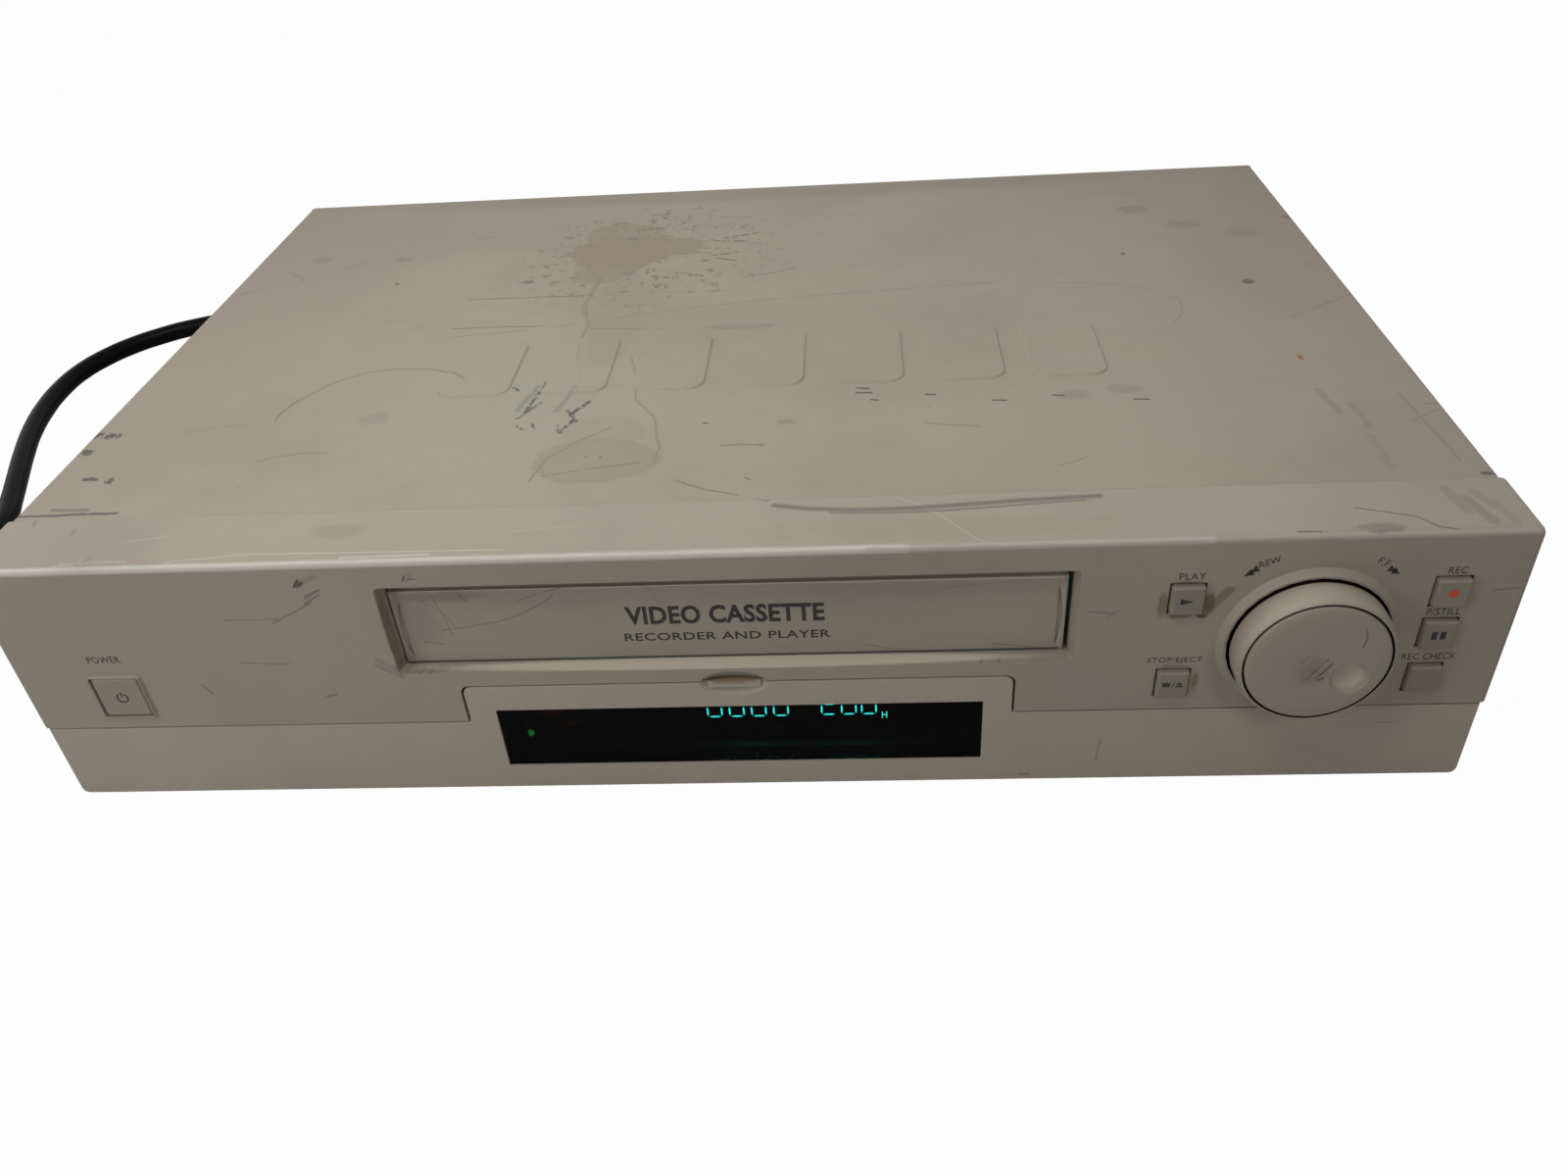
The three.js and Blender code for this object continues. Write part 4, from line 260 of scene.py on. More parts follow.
# Small dots of dirt, thinned out in patches
def make_speckle():
    g, out, place, pitch, size, patch = effect("speckle", "Mask", Pitch=9.0, Size=0.5, Patch=70.0)
    cells = g.node("TexVoronoi", feature="F1")
    sway = g.noise(place, 0.6, 2.0, output="Color")
    g.put(cells.inputs["Vector"], g.vector("ADD", place, g.scaled(sway, 1.4)))
    g.put(cells.inputs["Scale"], g.per(1.0, pitch))
    far = g.times(cells.outputs["Distance"], pitch)
    chance = g.part(cells.outputs["Color"], "X")
    dot = g.fade(far, g.times(size, 1.2), g.times(size, 0.5))
    thinned = g.fade(g.noise(place, g.per(1.0, patch), 2.0), 0.45, 0.6)
    some = g.fade(chance, 0.55, 0.6)
    g.put(out["Mask"], g.times(g.times(dot, some), thinned))
    return g.tree


# Hairline scratches that run one way, in patches
def make_scratches():
    g, out, place, turn, length, amount = effect("scratches", "Mask", Turn=0.0, Length=40.0, Amount=0.5)
    x, y = g.part(place, "X"), g.part(place, "Y")
    cosine, sine = g.math("COSINE", turn), g.math("SINE", turn)
    along = g.plus(g.times(x, cosine), g.times(y, sine))
    across = g.less(g.times(y, cosine), g.times(x, sine))
    bent = g.plus(across, g.times(g.noise(place, 0.012, 1.0), 26.0))
    streaks = g.joined(g.per(along, length), g.times(bent, 1.3), g.part(place, "Z"))
    lines = g.noise(streaks, 1.0, 1.5, 0.6)
    low = g.less(0.86, g.times(amount, 0.2))
    g.put(out["Mask"], g.fade(lines, low, g.plus(low, 0.06)))
    return g.tree


# A line's mask: full near its middle and gone before it is as wide as given
def line_mask(g, off, width):
    return g.fade(off, g.times(width, 0.6), g.times(width, 0.2))


# One stroke between two places, shaken off its line and broken up along its way
def make_stroke():
    g, out, place, shake, breaks, start, end, width, wobble, gaps = effect(
        "stroke", "Mask", Shake=NOUGHT, Breaks=0.5, From=NOUGHT, To=(1.0, 0.0, 0.0), Width=1.0, Wobble=1.0,
        Gaps=0.3)
    sway = g.scaled(shake, g.times(wobble, 4.0))
    here = g.vector("SUBTRACT", g.vector("ADD", place, sway), start)
    way = g.vector("SUBTRACT", end, start)
    share = g.per(g.measure("DOT_PRODUCT", here, way), g.measure("DOT_PRODUCT", way, way))
    share = g.math("MINIMUM", g.most(share, 0.0), 1.0)
    off = g.measure("LENGTH", g.vector("SUBTRACT", here, g.scaled(way, share)))
    broken = g.fade(breaks, gaps, g.plus(gaps, 0.12))
    g.put(out["Mask"], g.times(line_mask(g, off, width), broken))
    return g.tree


# One oval stain with a ragged edge and a rim where it dried
def make_blot():
    g, out, place, centre, size, ragged, soft, lump = effect(
        "blot", "Mask Rim", Centre=NOUGHT, Size=(10.0, 10.0, 1000.0), Ragged=0.3, Soft=0.25, Lump=8.0)
    off = g.vector("DIVIDE", g.vector("SUBTRACT", place, centre), size)
    lumps = g.less(g.noise(place, g.per(1.0, lump), 3.0, 0.6), 0.5)
    reach = g.plus(g.measure("LENGTH", off), g.times(lumps, g.times(ragged, 4.0)))
    g.put(out["Mask"], g.fade(reach, 1.0, g.less(1.0, soft)))
    g.put(out["Rim"], g.times(g.fade(reach, 0.8, 0.97), g.fade(reach, 1.06, 0.98)))
    return g.tree


# Part of a circle, as a blunt corner leaves when it is dragged round
def make_arc():
    g, out, place, centre, radius, width, towards, opening = effect(
        "arc", "Mask", Centre=NOUGHT, Radius=30.0, Width=1.0, Towards=(0.0, 1.0, 0.0), Open=0.2)
    sway = g.vector("SUBTRACT", g.noise(place, 0.05, 1.0, output="Color"), (0.5, 0.5, 0.5))
    shaken = g.vector("ADD", place, g.scaled(sway, 7.0))
    here = g.vector("MULTIPLY", g.vector("SUBTRACT", shaken, centre), (1, 1, 0))
    off = g.math("ABSOLUTE", g.less(g.measure("LENGTH", here), radius))
    facing = g.measure("DOT_PRODUCT", g.vector("NORMALIZE", here), g.vector("NORMALIZE", towards))
    opened = g.fade(facing, opening, g.plus(opening, 0.15))
    g.put(out["Mask"], g.times(line_mask(g, off, width), opened))
    return g.tree


# Spatter: drops and short rays thrown outwards from one place
def make_spatter():
    g, out, place, centre, reach = effect("spatter", "Mask", Centre=NOUGHT, Reach=40.0)
    here = g.vector("SUBTRACT", place, centre)
    x, y = g.part(here, "X"), g.part(here, "Y")
    far = g.per(g.measure("LENGTH", g.vector("MULTIPLY", here, (1, 1, 0))), reach)
    way = g.joined(g.times(g.math("ARCTAN2", y, x), 6.0), g.times(far, 5.0))
    rays = g.noise(way, 1.6, 3.0, 0.65)
    drops = g.noise(place, 0.36, 2.0, 0.5)
    both = g.times(g.fade(rays, 0.5, 0.62), g.fade(drops, 0.5, 0.56))
    g.put(out["Mask"], g.times(both, g.fade(far, 1.05, 0.55)))
    return g.tree


MOTTLE = make_mottle()
GRAIN = make_grain()
SPECKLE = make_speckle()
SCRATCHES = make_scratches()
STROKE = make_stroke()
BLOT = make_blot()
ARC = make_arc()
SPATTER = make_spatter()

# Tones of the surfaces, of the marks on them, and of painted light and shade
CASE = (0.385, 0.345, 0.28)
CASE_SHADE = (0.335, 0.3, 0.243)
COVER = (0.375, 0.34, 0.272)
COVER_SHADE = (0.33, 0.295, 0.235)
# The door's tones are the case tones made lighter: painted light on the door's face
PAINTED_LIGHTER_DOOR = (0.455, 0.408, 0.332)
PAINTED_LIGHTER_DOOR_SHADE = (0.41, 0.367, 0.298)
INK = (0.014, 0.013, 0.012)
DIRT = (0.1, 0.07, 0.045)
BARE = (0.52, 0.5, 0.47)
SPILL = (0.285, 0.235, 0.175)
DROP = (0.15, 0.1, 0.065)
GREENISH = (0.355, 0.345, 0.268)
PINKISH = (0.36, 0.305, 0.25)
INKY = (0.035, 0.04, 0.045)
BLUISH = (0.19, 0.195, 0.185)
SCUFF = (0.17, 0.145, 0.125)
PALE = (0.52, 0.49, 0.42)
HALO = (0.15, 0.1, 0.05)
RUSTED = (0.09, 0.04, 0.012)
RED_SPOT = (0.4, 0.08, 0.05)
REAR_BROWN = (0.31, 0.262, 0.215)
LIP_BROWN = (0.3, 0.262, 0.22)
LIP_YELLOWED = (0.3, 0.265, 0.2)
LIP_RUBBED = (0.34, 0.28, 0.22)
# Painted highlight along the front's rounded top edge, bright at first and then duller
EDGE_PAINTED_HIGHLIGHT = (0.74, 0.71, 0.64)
EDGE_DULLER_PAINTED_HIGHLIGHT = (0.58, 0.55, 0.48)
# Painted shadow in the slot's top gap
PAINTED_SLOT_SHADOW = (0.012, 0.011, 0.01)
# Darker tones for the slot's left wall and its lower left corner
SLOT_WALL_DARKER = (0.2, 0.16, 0.115)
SLOT_CORNER_DARKER = (0.16, 0.125, 0.09)
# Painted light on the slot's sill
PAINTED_SILL_LIGHT = (0.74, 0.66, 0.55)
# Painted highlight on the flap's top edge
FLAP_EDGE_PAINTED_HIGHLIGHT = (0.62, 0.58, 0.5)
FLAP_GRIP = (0.5, 0.46, 0.38)
FINGER_BROWN = (0.29, 0.2, 0.125)
# Painted light in the knob's finger dish
DISH_PAINTED_LIGHT = (0.47, 0.425, 0.355)
DIAL_DARK = (0.05, 0.045, 0.04)


class Finish(Graph):
    def __init__(self, name, roughness=0.5, metallic=0.0, gloss=0.5):
        self.material = bpy.data.materials.new(name)
        self.material.use_nodes = True
        super().__init__(self.material.node_tree)
        self.shader = self.tree.nodes["Principled BSDF"]
        self.fixed("Roughness", roughness).fixed("Metallic", metallic).fixed("Specular IOR Level", gloss)
        self.here = self.place()
        self.colour = self.shake = self.breaks = None
        self.marks = {}

    # A value that is the same all over sits on the shader's own socket
    def fixed(self, name, value):
        self.shader.inputs[name].default_value = value
        return self

    def lay(self, group, **values):
        return self.use(group, place=self.here, **values)

    def tone(self, colour, shade, patch=60.0):
        self.colour = self.lay(MOTTLE, tone=colour, shade=shade, patch=patch)["Colour"]
        return self

    def grain(self, pitch, depth):
        normal = self.lay(GRAIN, pitch=pitch, depth=depth)["Normal"]
        self.put(self.shader.inputs["Normal"], normal)
        return self

    # Marks of one kind and colour are gathered into one mask before they are laid over the tone
    def over(self, kind, mask, colour, share=1.0):
        if share != 1.0:
            mask = self.times(mask, share)
        if (kind, colour) in self.marks:
            mask = self.most(self.marks[kind, colour], mask)
        self.marks[kind, colour] = mask
        return self

    def blot(self, centre, size, colour, share, ragged, soft, lump, rim=None):
        made = self.lay(BLOT, centre=centre, size=size, ragged=ragged, soft=soft, lump=lump)
        self.over("blot", made["Mask"], colour, share)
        if rim:
            self.over("rim", made["Rim"], colour, rim)

    # Rows hold the middle of each blot on its face, its reach both ways and its share
    def blots(self, face, thick, colour, rows, ragged, soft, lump):
        for across, up, wide, high, share in rows:
            self.blot(face(across, up), face(wide, high, thick), colour, share, ragged, soft, lump)

    def unsteady(self):
        aside = self.moved(self.here, (31, 57, 13))
        sway = self.less(self.noise(self.here, 0.09, 2.0), 0.5)
        rise = self.less(self.noise(aside, 0.09, 2.0), 0.5)
        self.shake = self.joined(sway, rise, rise)
        self.breaks = self.noise(self.here, 0.45, 3.0, 0.7)

    # A stroke runs through points that lie on one face
    def path(self, face, points, width, colour, share=1.0, wobble=0.4, gaps=0.3):
        if self.shake is None:
            self.unsteady()
        for start, end in zip(points, points[1:]):
            values = {"shake": self.shake, "breaks": self.breaks, "from": face(*start), "to": face(*end),
                      "width": width, "wobble": wobble, "gaps": gaps}
            self.over("stroke", self.lay(STROKE, **values)["Mask"], colour, share)

    # Rows hold a width, a share and the points of the stroke
    def paths(self, face, colour, rows, wobble=0.4, gaps=0.3):
        for width, share, *points in rows:
            self.path(face, points, width, colour, share, wobble, gaps)

    def scratch(self, turn, length, amount, colour, share):
        made = self.lay(SCRATCHES, turn=turn, length=length, amount=amount)
        return self.over("scratch", made["Mask"], colour, share)

    def specks(self, pitch, size, colour, share):
        made = self.lay(SPECKLE, pitch=pitch, size=size, patch=70.0)
        return self.over("speck", made["Mask"], colour, share)

    def done(self):
        for (kind, colour), mask in self.marks.items():
            self.colour = self.mix(mask, self.colour, colour)
        self.put(self.shader.inputs["Base Color"], self.colour)
        return self.material


def dress(material, *names):
    for name in names:
        coat(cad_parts[name], material)


# Faces that carry marks: two measures are given on the face, and it adds its own height or depth
def level_face(height):
    return lambda x, y, third=height: (x, y, third)


def upright_face(depth):
    return lambda x, z, third=depth: (x, third, z)


# The slot's sill slopes, so marks on it are given in full
def sill(x, y, z):
    return (x, y, z)


TOP = level_face(88.4)
LIP = level_face(88.7)
FACE = upright_face(0)
EDGE = upright_face(0.3)
SLOT_EDGE = upright_face(0.6)
FLAP = upright_face(4.5)
DIAL = upright_face(-10.7)
HOLLOW = upright_face(-10.05)

# Splashes are short strokes of one width
SPLASHES = [
    [(-20, 225), (-6, 223)], [(-18, 209), (-9, 212)], [(-17, 206), (-10, 203)], [(-12, 229), (-2, 232)],
    [(-41, 190), (-33, 188)], [(-31, 192), (-22, 189)], [(-40, 182), (-38, 178)], [(-50, 258), (-43, 259)],
    [(-35, 262), (-29, 264)], [(-53, 241), (-41, 242)], [(-66, 251), (-60, 250)], [(-23, 217), (-13, 216)]
]

# Strokes hold a width, a share and the points that they run through
COVER_SCUFFS = [
    (0.8, 0.9, (-111, 174.6), (-66, 174.2)), (0.5, 0.5, (-66, 174.4), (-10, 173)),
    (0.8, 0.9, (-111, 148.5), (-96, 148.8), (-77, 147.5)), (0.6, 0.7, (-59, 144.5), (-32, 141.2)),
    (0.55, 0.65, (-110, 141), (-75, 146), (-57, 151), (-38, 156), (-17.5, 160), (5, 163.4), (31, 166),
     (60, 169), (90, 170.5)),
    (1.0, 0.7, (-2.4, 186.3), (6, 189), (15, 193)), (0.8, 0.7, (-123, 238), (-119, 240), (-115, 239.7)),
    (0.8, 0.7, (34, 248), (38, 249), (41, 244.5)), (0.7, 0.85, (-3.6, 56.6), (8.9, 56.3)),
    (1.0, 0.6, (-15.4, 37), (-12, 34.5), (-6, 31.2), (3, 28)), (1.0, 0.4, (58.8, 66), (75, 63)),
    (0.6, 0.5, (0.2, 57.7), (9.4, 55.4)), (1.0, 0.3, (203, 75.6), (206, 34.7)),
    (0.8, 0.3, (200.5, 57.4), (213, 65.4)), (2.6, 0.24, (180, 78.6), (182.4, 64.8)),
    (2.6, 0.24, (187, 69), (188, 55)), (3.0, 0.2, (186.3, 50), (186, 32)),
    (0.6, 0.5, (187, 131.7), (212, 148)), (0.6, 0.6, (203.5, 176), (214, 175.7)),
    (0.8, 0.6, (208, 67.8), (214, 67.4)), (0.6, 0.5, (95.3, 38.6), (105, 43.2)),
    (0.6, 0.5, (-181, 76), (-166, 80), (-156, 82)), (1.4, 0.4, (-193, 208), (-186, 201)),
    (1.2, 0.35, (-166, 220), (-172, 211)), (0.9, 0.5, (-150, 56), (-138, 60), (-128, 60)),
    (1.0, 0.45, (-208, 189), (-202, 195)), (2.4, 0.6, (-203, 31), (-192, 30))
]
COVER_INK = [
    (1.2, 0.8, (6, 133), (8, 132.5)), (1.6, 0.75, (-214, 27.5), (-182, 28.2)),
    (2.0, 0.7, (209.6, 28), (215, 27.5))
]
SPILL_INK = [
    (1.6, 0.8, (-66.7, 101.6), (-70, 82)), (1.2, 0.8, (-66, 88), (-72, 78)),
    (2.0, 0.8, (-49.6, 88), (-54, 80)), (1.8, 0.8, (-56, 82), (-52, 75)), (1.8, 0.8, (-53, 76), (-56, 68)),
    (1.3, 0.8, (-77.5, 99.6), (-75, 97)), (1.2, 0.8, (-66, 74), (-64, 69)),
    (0.9, 0.8, (-71, 73), (-68, 70)), (1.0, 0.8, (-58, 73), (-57, 69))
]
LIP_RUBS = [
    (0.8, 0.9, (-188, 0.9), (-180, 2.2), (-167, 2.6)), (0.8, 0.7, (-186, 2.5), (-181, 0.9)),
    (0.6, 0.85, (-155, 1.4), (-132, 4.4), (-91, 3.6), (-60, 3.2)), (0.7, 0.6, (-172, 12), (-160, 14.5)),
    (1.2, 0.8, (-105, 1.6), (-80, 1.9)), (0.6, 0.4, (-60, 12), (-40, 14)),
    (0.8, 0.35, (48, 24), (54, 20), (60, 14), (65, 7), (69, 2), (74, -0.5))
]
LIP_SCUFFS = [
    (1.3, 0.6, (-18, 35), (-8, 31.5), (2, 27.5), (12, 24)),
    (2.6, 0.85, (14, 21.5), (24, 19.2), (36, 18), (52, 18), (66, 19), (80, 20.3), (104, 21.5)),
    (1.4, 0.7, (30, 17), (46, 16), (64, 16.6), (84, 18.4), (100, 19.6)), (3.6, 0.32, (196, 20), (198, 9)),
    (3.2, 0.28, (203, 18), (205.5, 11)), (3.8, 0.42, (199.5, 15), (202.5, 4)),
    (2.6, 0.25, (206, 13), (208, 3)), (1.2, 0.5, (-205, 26), (-204, 22)),
    (1.0, 0.6, (-190, 16.7), (-189.9, 19.3)), (0.9, 0.6, (-179, 2.5), (-178, 5))
]
LIP_INK = [
    (0.6, 0.7, (170, 12), (184, 7), (188, 2), (194, 0.5)), (0.8, 0.6, (152, 1.5), (158, 1.2))
]
FACE_SCUFFS = [
    (2.4, 0.35, (-117.6, 81.4), (-113.6, 83.2)), (1.0, 0.75, (-113.2, 78.8), (-117.8, 76.4)),
    (0.45, 0.8, (-116.5, 74.6), (-122, 71.8), (-130, 67.6)), (0.5, 0.6, (-144, 69.1), (-128, 69.2)),
    (0.5, 0.6, (-144, 53.2), (-129, 52.4)), (0.9, 0.6, (-158.6, 45), (-156.7, 41.6)),
    (0.9, 0.6, (-122, 39.7), (-119, 40.3)), (0.7, 0.8, (-87.6, 81.7), (-85.4, 81.9)),
    (1.6, 0.3, (-86.9, 82), (-86.4, 83.7)), (1.2, 0.5, (-104, 51), (-97, 46.5)),
    (0.7, 0.5, (100, 65), (107, 64)), (0.8, 0.6, (206, 69), (212.4, 69.4)),
    (0.8, 0.45, (105, 62.7), (108, 65)), (2.4, 0.3, (-103, 53), (-99, 49.5))
]
FACE_INK = [
    (1.0, 0.85, (-119.8, 80.2), (-118.2, 82.4)), (1.5, 0.75, (-118.8, 80.4), (-117.4, 81.4)),
    (0.6, 0.6, (-113.6, 77.2), (-118.6, 74.2)), (0.8, 0.75, (-88.6, 81.4), (-88.1, 82.9))
]
FLAP_SCUFFS = [
    (0.5, 0.6, (-83, 60.2), (-75, 61.2), (-67, 62.8), (-60, 65), (-54, 68), (-49, 72)),
    (0.5, 0.6, (-60, 70), (-52, 73), (-44, 75)),
    (0.4, 0.5, (-25, 76), (-22, 73.6), (-20.2, 70.6), (-19.4, 67)),
    (0.4, 0.5, (4, 63.4), (20, 65.4), (36, 67.6)), (0.5, 0.6, (38.5, 51.7), (46, 49.5), (53.8, 48.6)),
    (0.5, 0.6, (74.6, 50.7), (83, 49.6), (91, 48.8)),
    (0.5, 0.45, (-88, 71), (-84, 68.6), (-81, 65), (-79.6, 61)),
    (0.5, 0.5, (-84, 73), (-82, 66), (-81, 58)), (0.7, 0.6, (-76, 73.5), (-74, 70)),
    (0.6, 0.5, (-90, 56), (-84, 55)), (0.4, 0.4, (60, 71), (84, 73))
]

# Spots hold their middle, their reach both ways and a share
COVER_SPOTS = {
    SCUFF: [
        (-91.6, 189.6, 4, 2, 0.7), (-3.7, 141, 18, 3, 0.28), (15.2, 69.8, 3.5, 2, 0.35),
        (-150.7, 219, 5, 4, 0.3), (-120, 81, 7, 5, 0.22), (122, 84, 6, 4, 0.25), (106, 81, 7, 4, 0.25)
    ],
    SPILL: [
        (153, 240, 8, 6, 0.6), (170, 221, 9, 5, 0.5), (190, 210, 8, 7, 0.5), (-186, 222, 6, 5, 0.5)
    ],
    DROP: [
        (180.1, 162.6, 2.4, 3, 0.9), (213, 224, 5, 3, 0.5), (141, 193, 1.2, 1.6, 0.8),
        (-145, 193, 1.2, 1.6, 0.7)
    ],
    RED_SPOT: [(181.2, 101, 1.2, 2, 0.9)],
}
KEY_RUST = [
    (119.6, 66.5, 1.9, 5.4, 0.6), (124.5, 62.9, 5.5, 1.5, 0.75), (132.0, 66.8, 2.0, 5.0, 0.8),
    (131.8, 39.2, 1.3, 4.2, 0.5), (125, 44.6, 5, 0.9, 0.45), (125.4, 74.0, 4.6, 0.8, 0.55)
]


# Painted steel cover with what it has been through
def cover_paint():
    f = Finish("worn_cover_paint", roughness=0.6, gloss=0.25)
    f.tone(COVER, COVER_SHADE, 90.0).grain(0.9, 0.25)
    for centre, size, colour, share, ragged, lump in (
            (TOP(-95, 110), (75, 75, 30), GREENISH, 0.8, 0.25, 40.0),
            (TOP(120, 70), (90, 60, 30), GREENISH, 0.4, 0.25, 40.0),
            (TOP(-190, 180), (45, 110, 30), PINKISH, 0.7, 0.2, 30.0),
            (TOP(0, 284), (250, 17, 8), REAR_BROWN, 0.75, 0.03, 20.0),
            (TOP(190, 190), (45, 90, 30), PINKISH, 0.7, 0.2, 30.0)):
        f.blot(centre, size, colour, share, ragged, 0.6, lump)
    f.scratch(0.35, 60.0, 0.3, BARE, 0.18).scratch(2.1, 50.0, 0.25, DIRT, 0.22)
    f.specks(16.0, 0.45, DIRT, 0.5)
    cover_spill(f)
    cover_marks(f)
    return f.done()


# What was spilt on the cover: a burst with drops round it, a run down to the front and a pool
def cover_spill(f):
    burst = f.lay(SPATTER, centre=TOP(-47, 216), reach=66.0)
    f.over("spatter", burst["Mask"], DROP, 0.55)
    f.blots(TOP, 8, SPILL, [(-57, 217, 24, 21, 0.85), (-36, 220, 13, 10, 0.75), (-60, 238, 17, 12, 0.6),
                            (-61, 195, 14, 10, 0.6)], 0.22, 0.14, 7.0)
    f.blots(TOP, 8, SPILL, [(-50, 150, 12, 46, 0.22)], 0.1, 0.3, 9.0)
    f.blot(TOP(-42, 50), (19, 13, 8), SPILL, 0.42, 0.13, 0.1, 14.0, rim=0.3)
    f.blots(TOP, 8, SPILL, [(-42, 66, 14, 13, 0.25)], 0.13, 0.2, 9.0)
    for points in SPLASHES:
        f.path(TOP, points, 1.8, DROP, 0.75, 0.5, 0.42)
    f.blots(TOP, 4, BLUISH, [(-55, 231, 3.2, 2.4, 0.8), (-52, 194, 3.2, 2.4, 0.8)], 0.3, 0.5, 3.0)
    f.path(TOP, [(-62, 190), (-63.4, 180), (-64, 166), (-62.4, 156)], 2.6, SPILL, 0.8, 0.4, 0.1)
    f.paths(TOP, SPILL, [(1.1, 0.9, (-62.4, 156), (-60, 147), (-61, 132), (-59, 120), (-55, 100)),
                         (1.2, 0.9, (-60, 39), (-57, 52), (-48, 63), (-40, 70))], 0.4, 0.2)
    f.path(TOP, [(-40, 119), (-36.5, 104), (-34.5, 88), (-27, 76), (-22.8, 56), (-24, 48)], 1.1, SPILL, 0.8,
           0.4, 0.25)
    f.path(TOP, [(-57, 42), (-28, 48)], 0.6, DROP, 0.6, 0.3, 0.35)
    f.paths(TOP, INKY, SPILL_INK, 0.5, 0.38)
    f.paths(TOP, BLUISH, [(2.6, 0.5, (-69, 99), (-73, 84)), (2.4, 0.5, (-56, 98), (-60, 82))], 0.5, 0.2)
    dots = f.lay(SPECKLE, pitch=3.6, size=0.62, patch=30.0)
    near = f.lay(BLOT, centre=TOP(-43, 72), size=(15, 34, 8), ragged=0.1, soft=0.4, lump=8.0)
    f.over("speck", f.times(dots["Mask"], near["Mask"]), INKY, 0.85)


def cover_marks(f):
    f.paths(TOP, SCUFF, COVER_SCUFFS)
    f.paths(TOP, SPILL, [(0.7, 0.7, (84, 171), (106, 169.5), (124, 167), (138, 163), (147, 157), (153, 149),
                          (152, 139), (147, 130))])
    f.paths(TOP, DROP, [(0.8, 0.8, (4.5, 37.3), (6, 36))])
    f.paths(TOP, INKY, COVER_INK)
    for x, y, long in ((39.5, 90.5, 4), (61.3, 84.8, 3), (82.5, 79.3, 4), (101.1, 81.2, 3),
                       (126.1, 76.8, 4), (40, 87.5, 5), (43.3, 82.4, 2), (-9.9, 70.9, 1)):
        f.path(TOP, [(x - long / 2, y), (x + long / 2, y - 0.4)], 1.1, INKY, 0.85, 0.3, 0.25)
    for colour, rows in COVER_SPOTS.items():
        f.blots(TOP, 4, colour, rows, 0.3, 0.5, 4.0)
    f.blots(TOP, 4, INKY, [(-212.4, 76.3, 2.4, 2.2, 0.75), (-206, 75.4, 3.6, 1.8, 0.75),
                           (-200, 48.4, 3.2, 1.5, 0.75), (-193, 47, 1.4, 2.2, 0.75),
                           (-210, 65, 2.4, 2.0, 0.75)], 0.8, 0.25, 1.2)
    drag = f.lay(ARC, centre=TOP(-120, 82), radius=34.0, width=0.9, towards=(-0.4, 0.9, 0), open=0.3)
    f.over("arc", drag["Mask"], SCUFF, 0.6)


def case_plastic(name, tone=CASE, shade=CASE_SHADE):
    f = Finish(name, roughness=0.5, gloss=0.3)
    f.tone(tone, shade, 110.0).grain(0.5, 0.12)
    return f.specks(14.0, 0.35, DIRT, 0.35)


# The front's lip is rubbed pale in places and carries a painted highlight along its rounded front edge; its
# face is scuffed, with rust round the keys, a painted shadow along the slot's top edge and painted light on
# its sill
def front_plastic():
    f = case_plastic("worn_front")
    f.blot((-190, 10, 80), (45, 40, 50), PINKISH, 0.6, 0.2, 0.6, 25.0)
    f.blots(LIP, 6, LIP_YELLOWED, [(-110, 15, 11, 5, 0.6)], 0.3, 0.6, 8.0)
    f.blots(LIP, 6, LIP_RUBBED, [(60, 8, 60, 8, 0.45)], 0.3, 0.6, 20.0)
    for colour, rows in ((PALE, LIP_RUBS), (SCUFF, LIP_SCUFFS), (INKY, LIP_INK)):
        f.paths(LIP, colour, rows, 0.15, 0.22)
    # Painted highlight along the lip's rounded front edge: bright at the left, duller and then pale towards
    # the right
    for colour, width, share, *points in ((EDGE_PAINTED_HIGHLIGHT, 2.7, 0.9, (-215, 87.4), (-60, 87.4), (50, 87.4)),
                                          (EDGE_DULLER_PAINTED_HIGHLIGHT, 2.4, 0.8, (40, 87.4), (130, 87.5)),
                                          (PALE, 2.2, 0.55, (130, 87.5), (214, 87.6))):
        f.path(EDGE, points, width, colour, share, 0.08, 0.1)
    # Painted shadow along the slot's upper edge, where the gap above the flap is in shade
    f.path(SLOT_EDGE, [(-95.5, 78.3), (-10, 78.2), (93.5, 77.8)], 1.8, PAINTED_SLOT_SHADOW, 0.95, 0.02, 0)
    f.blot((-180, 12, 93), (45, 40, 8), LIP_BROWN, 0.45, 0.2, 0.6, 25.0)
    f.blots(LIP, 4, SCUFF, [(173, 2.5, 8, 2.5, 0.6)], 0.3, 0.5, 4.0)
    f.paths(FACE, SCUFF, FACE_SCUFFS, 0.2)
    f.paths(FACE, INKY, FACE_INK, 0.2)
    f.blots(FACE, 6, HALO, KEY_RUST, 0.2, 0.6, 2.5)
    f.blots(FACE, 6, RUSTED, [(130.4, 62.6, 2.2, 1.2, 0.9)], 0.2, 0.6, 2.5)
    f.path(FACE, [(131.5, 63.9), (134, 67.5), (136.7, 71.3)], 3.2, HALO, 0.6, 0.3, 0.2)
    # Darker on the slot's left wall and in its lower left corner
    f.blot((-97.6, 1.6, 63), (1.6, 3.0, 16.5), SLOT_WALL_DARKER, 0.75, 0.12, 0.5, 5.0)
    f.blot((-97, 2, 50.2), (3, 4, 2.4), SLOT_CORNER_DARKER, 0.6, 0.2, 0.6, 3.0)
    # Painted light on the slot's sill, which faces up into the light
    f.blot((0, 2.2, 47.8), (98, 3.0, 1.3), PAINTED_SILL_LIGHT, 0.85, 0.03, 0.3, 6.0)
    for x in (-92, -89, -43, -14, 6, 71, 76):
        f.path(sill, [(x, 0.6, 47.3), (x + 0.8, 2.6, 47.8)], 0.7, SCUFF, 0.8, 0.3, 0.2)
    f.path(sill, [(-96, 1.2, 47.5), (-84, 2.2, 47.7)], 1.8, SCUFF, 0.45, 0.3, 0.3)
    return f.done()


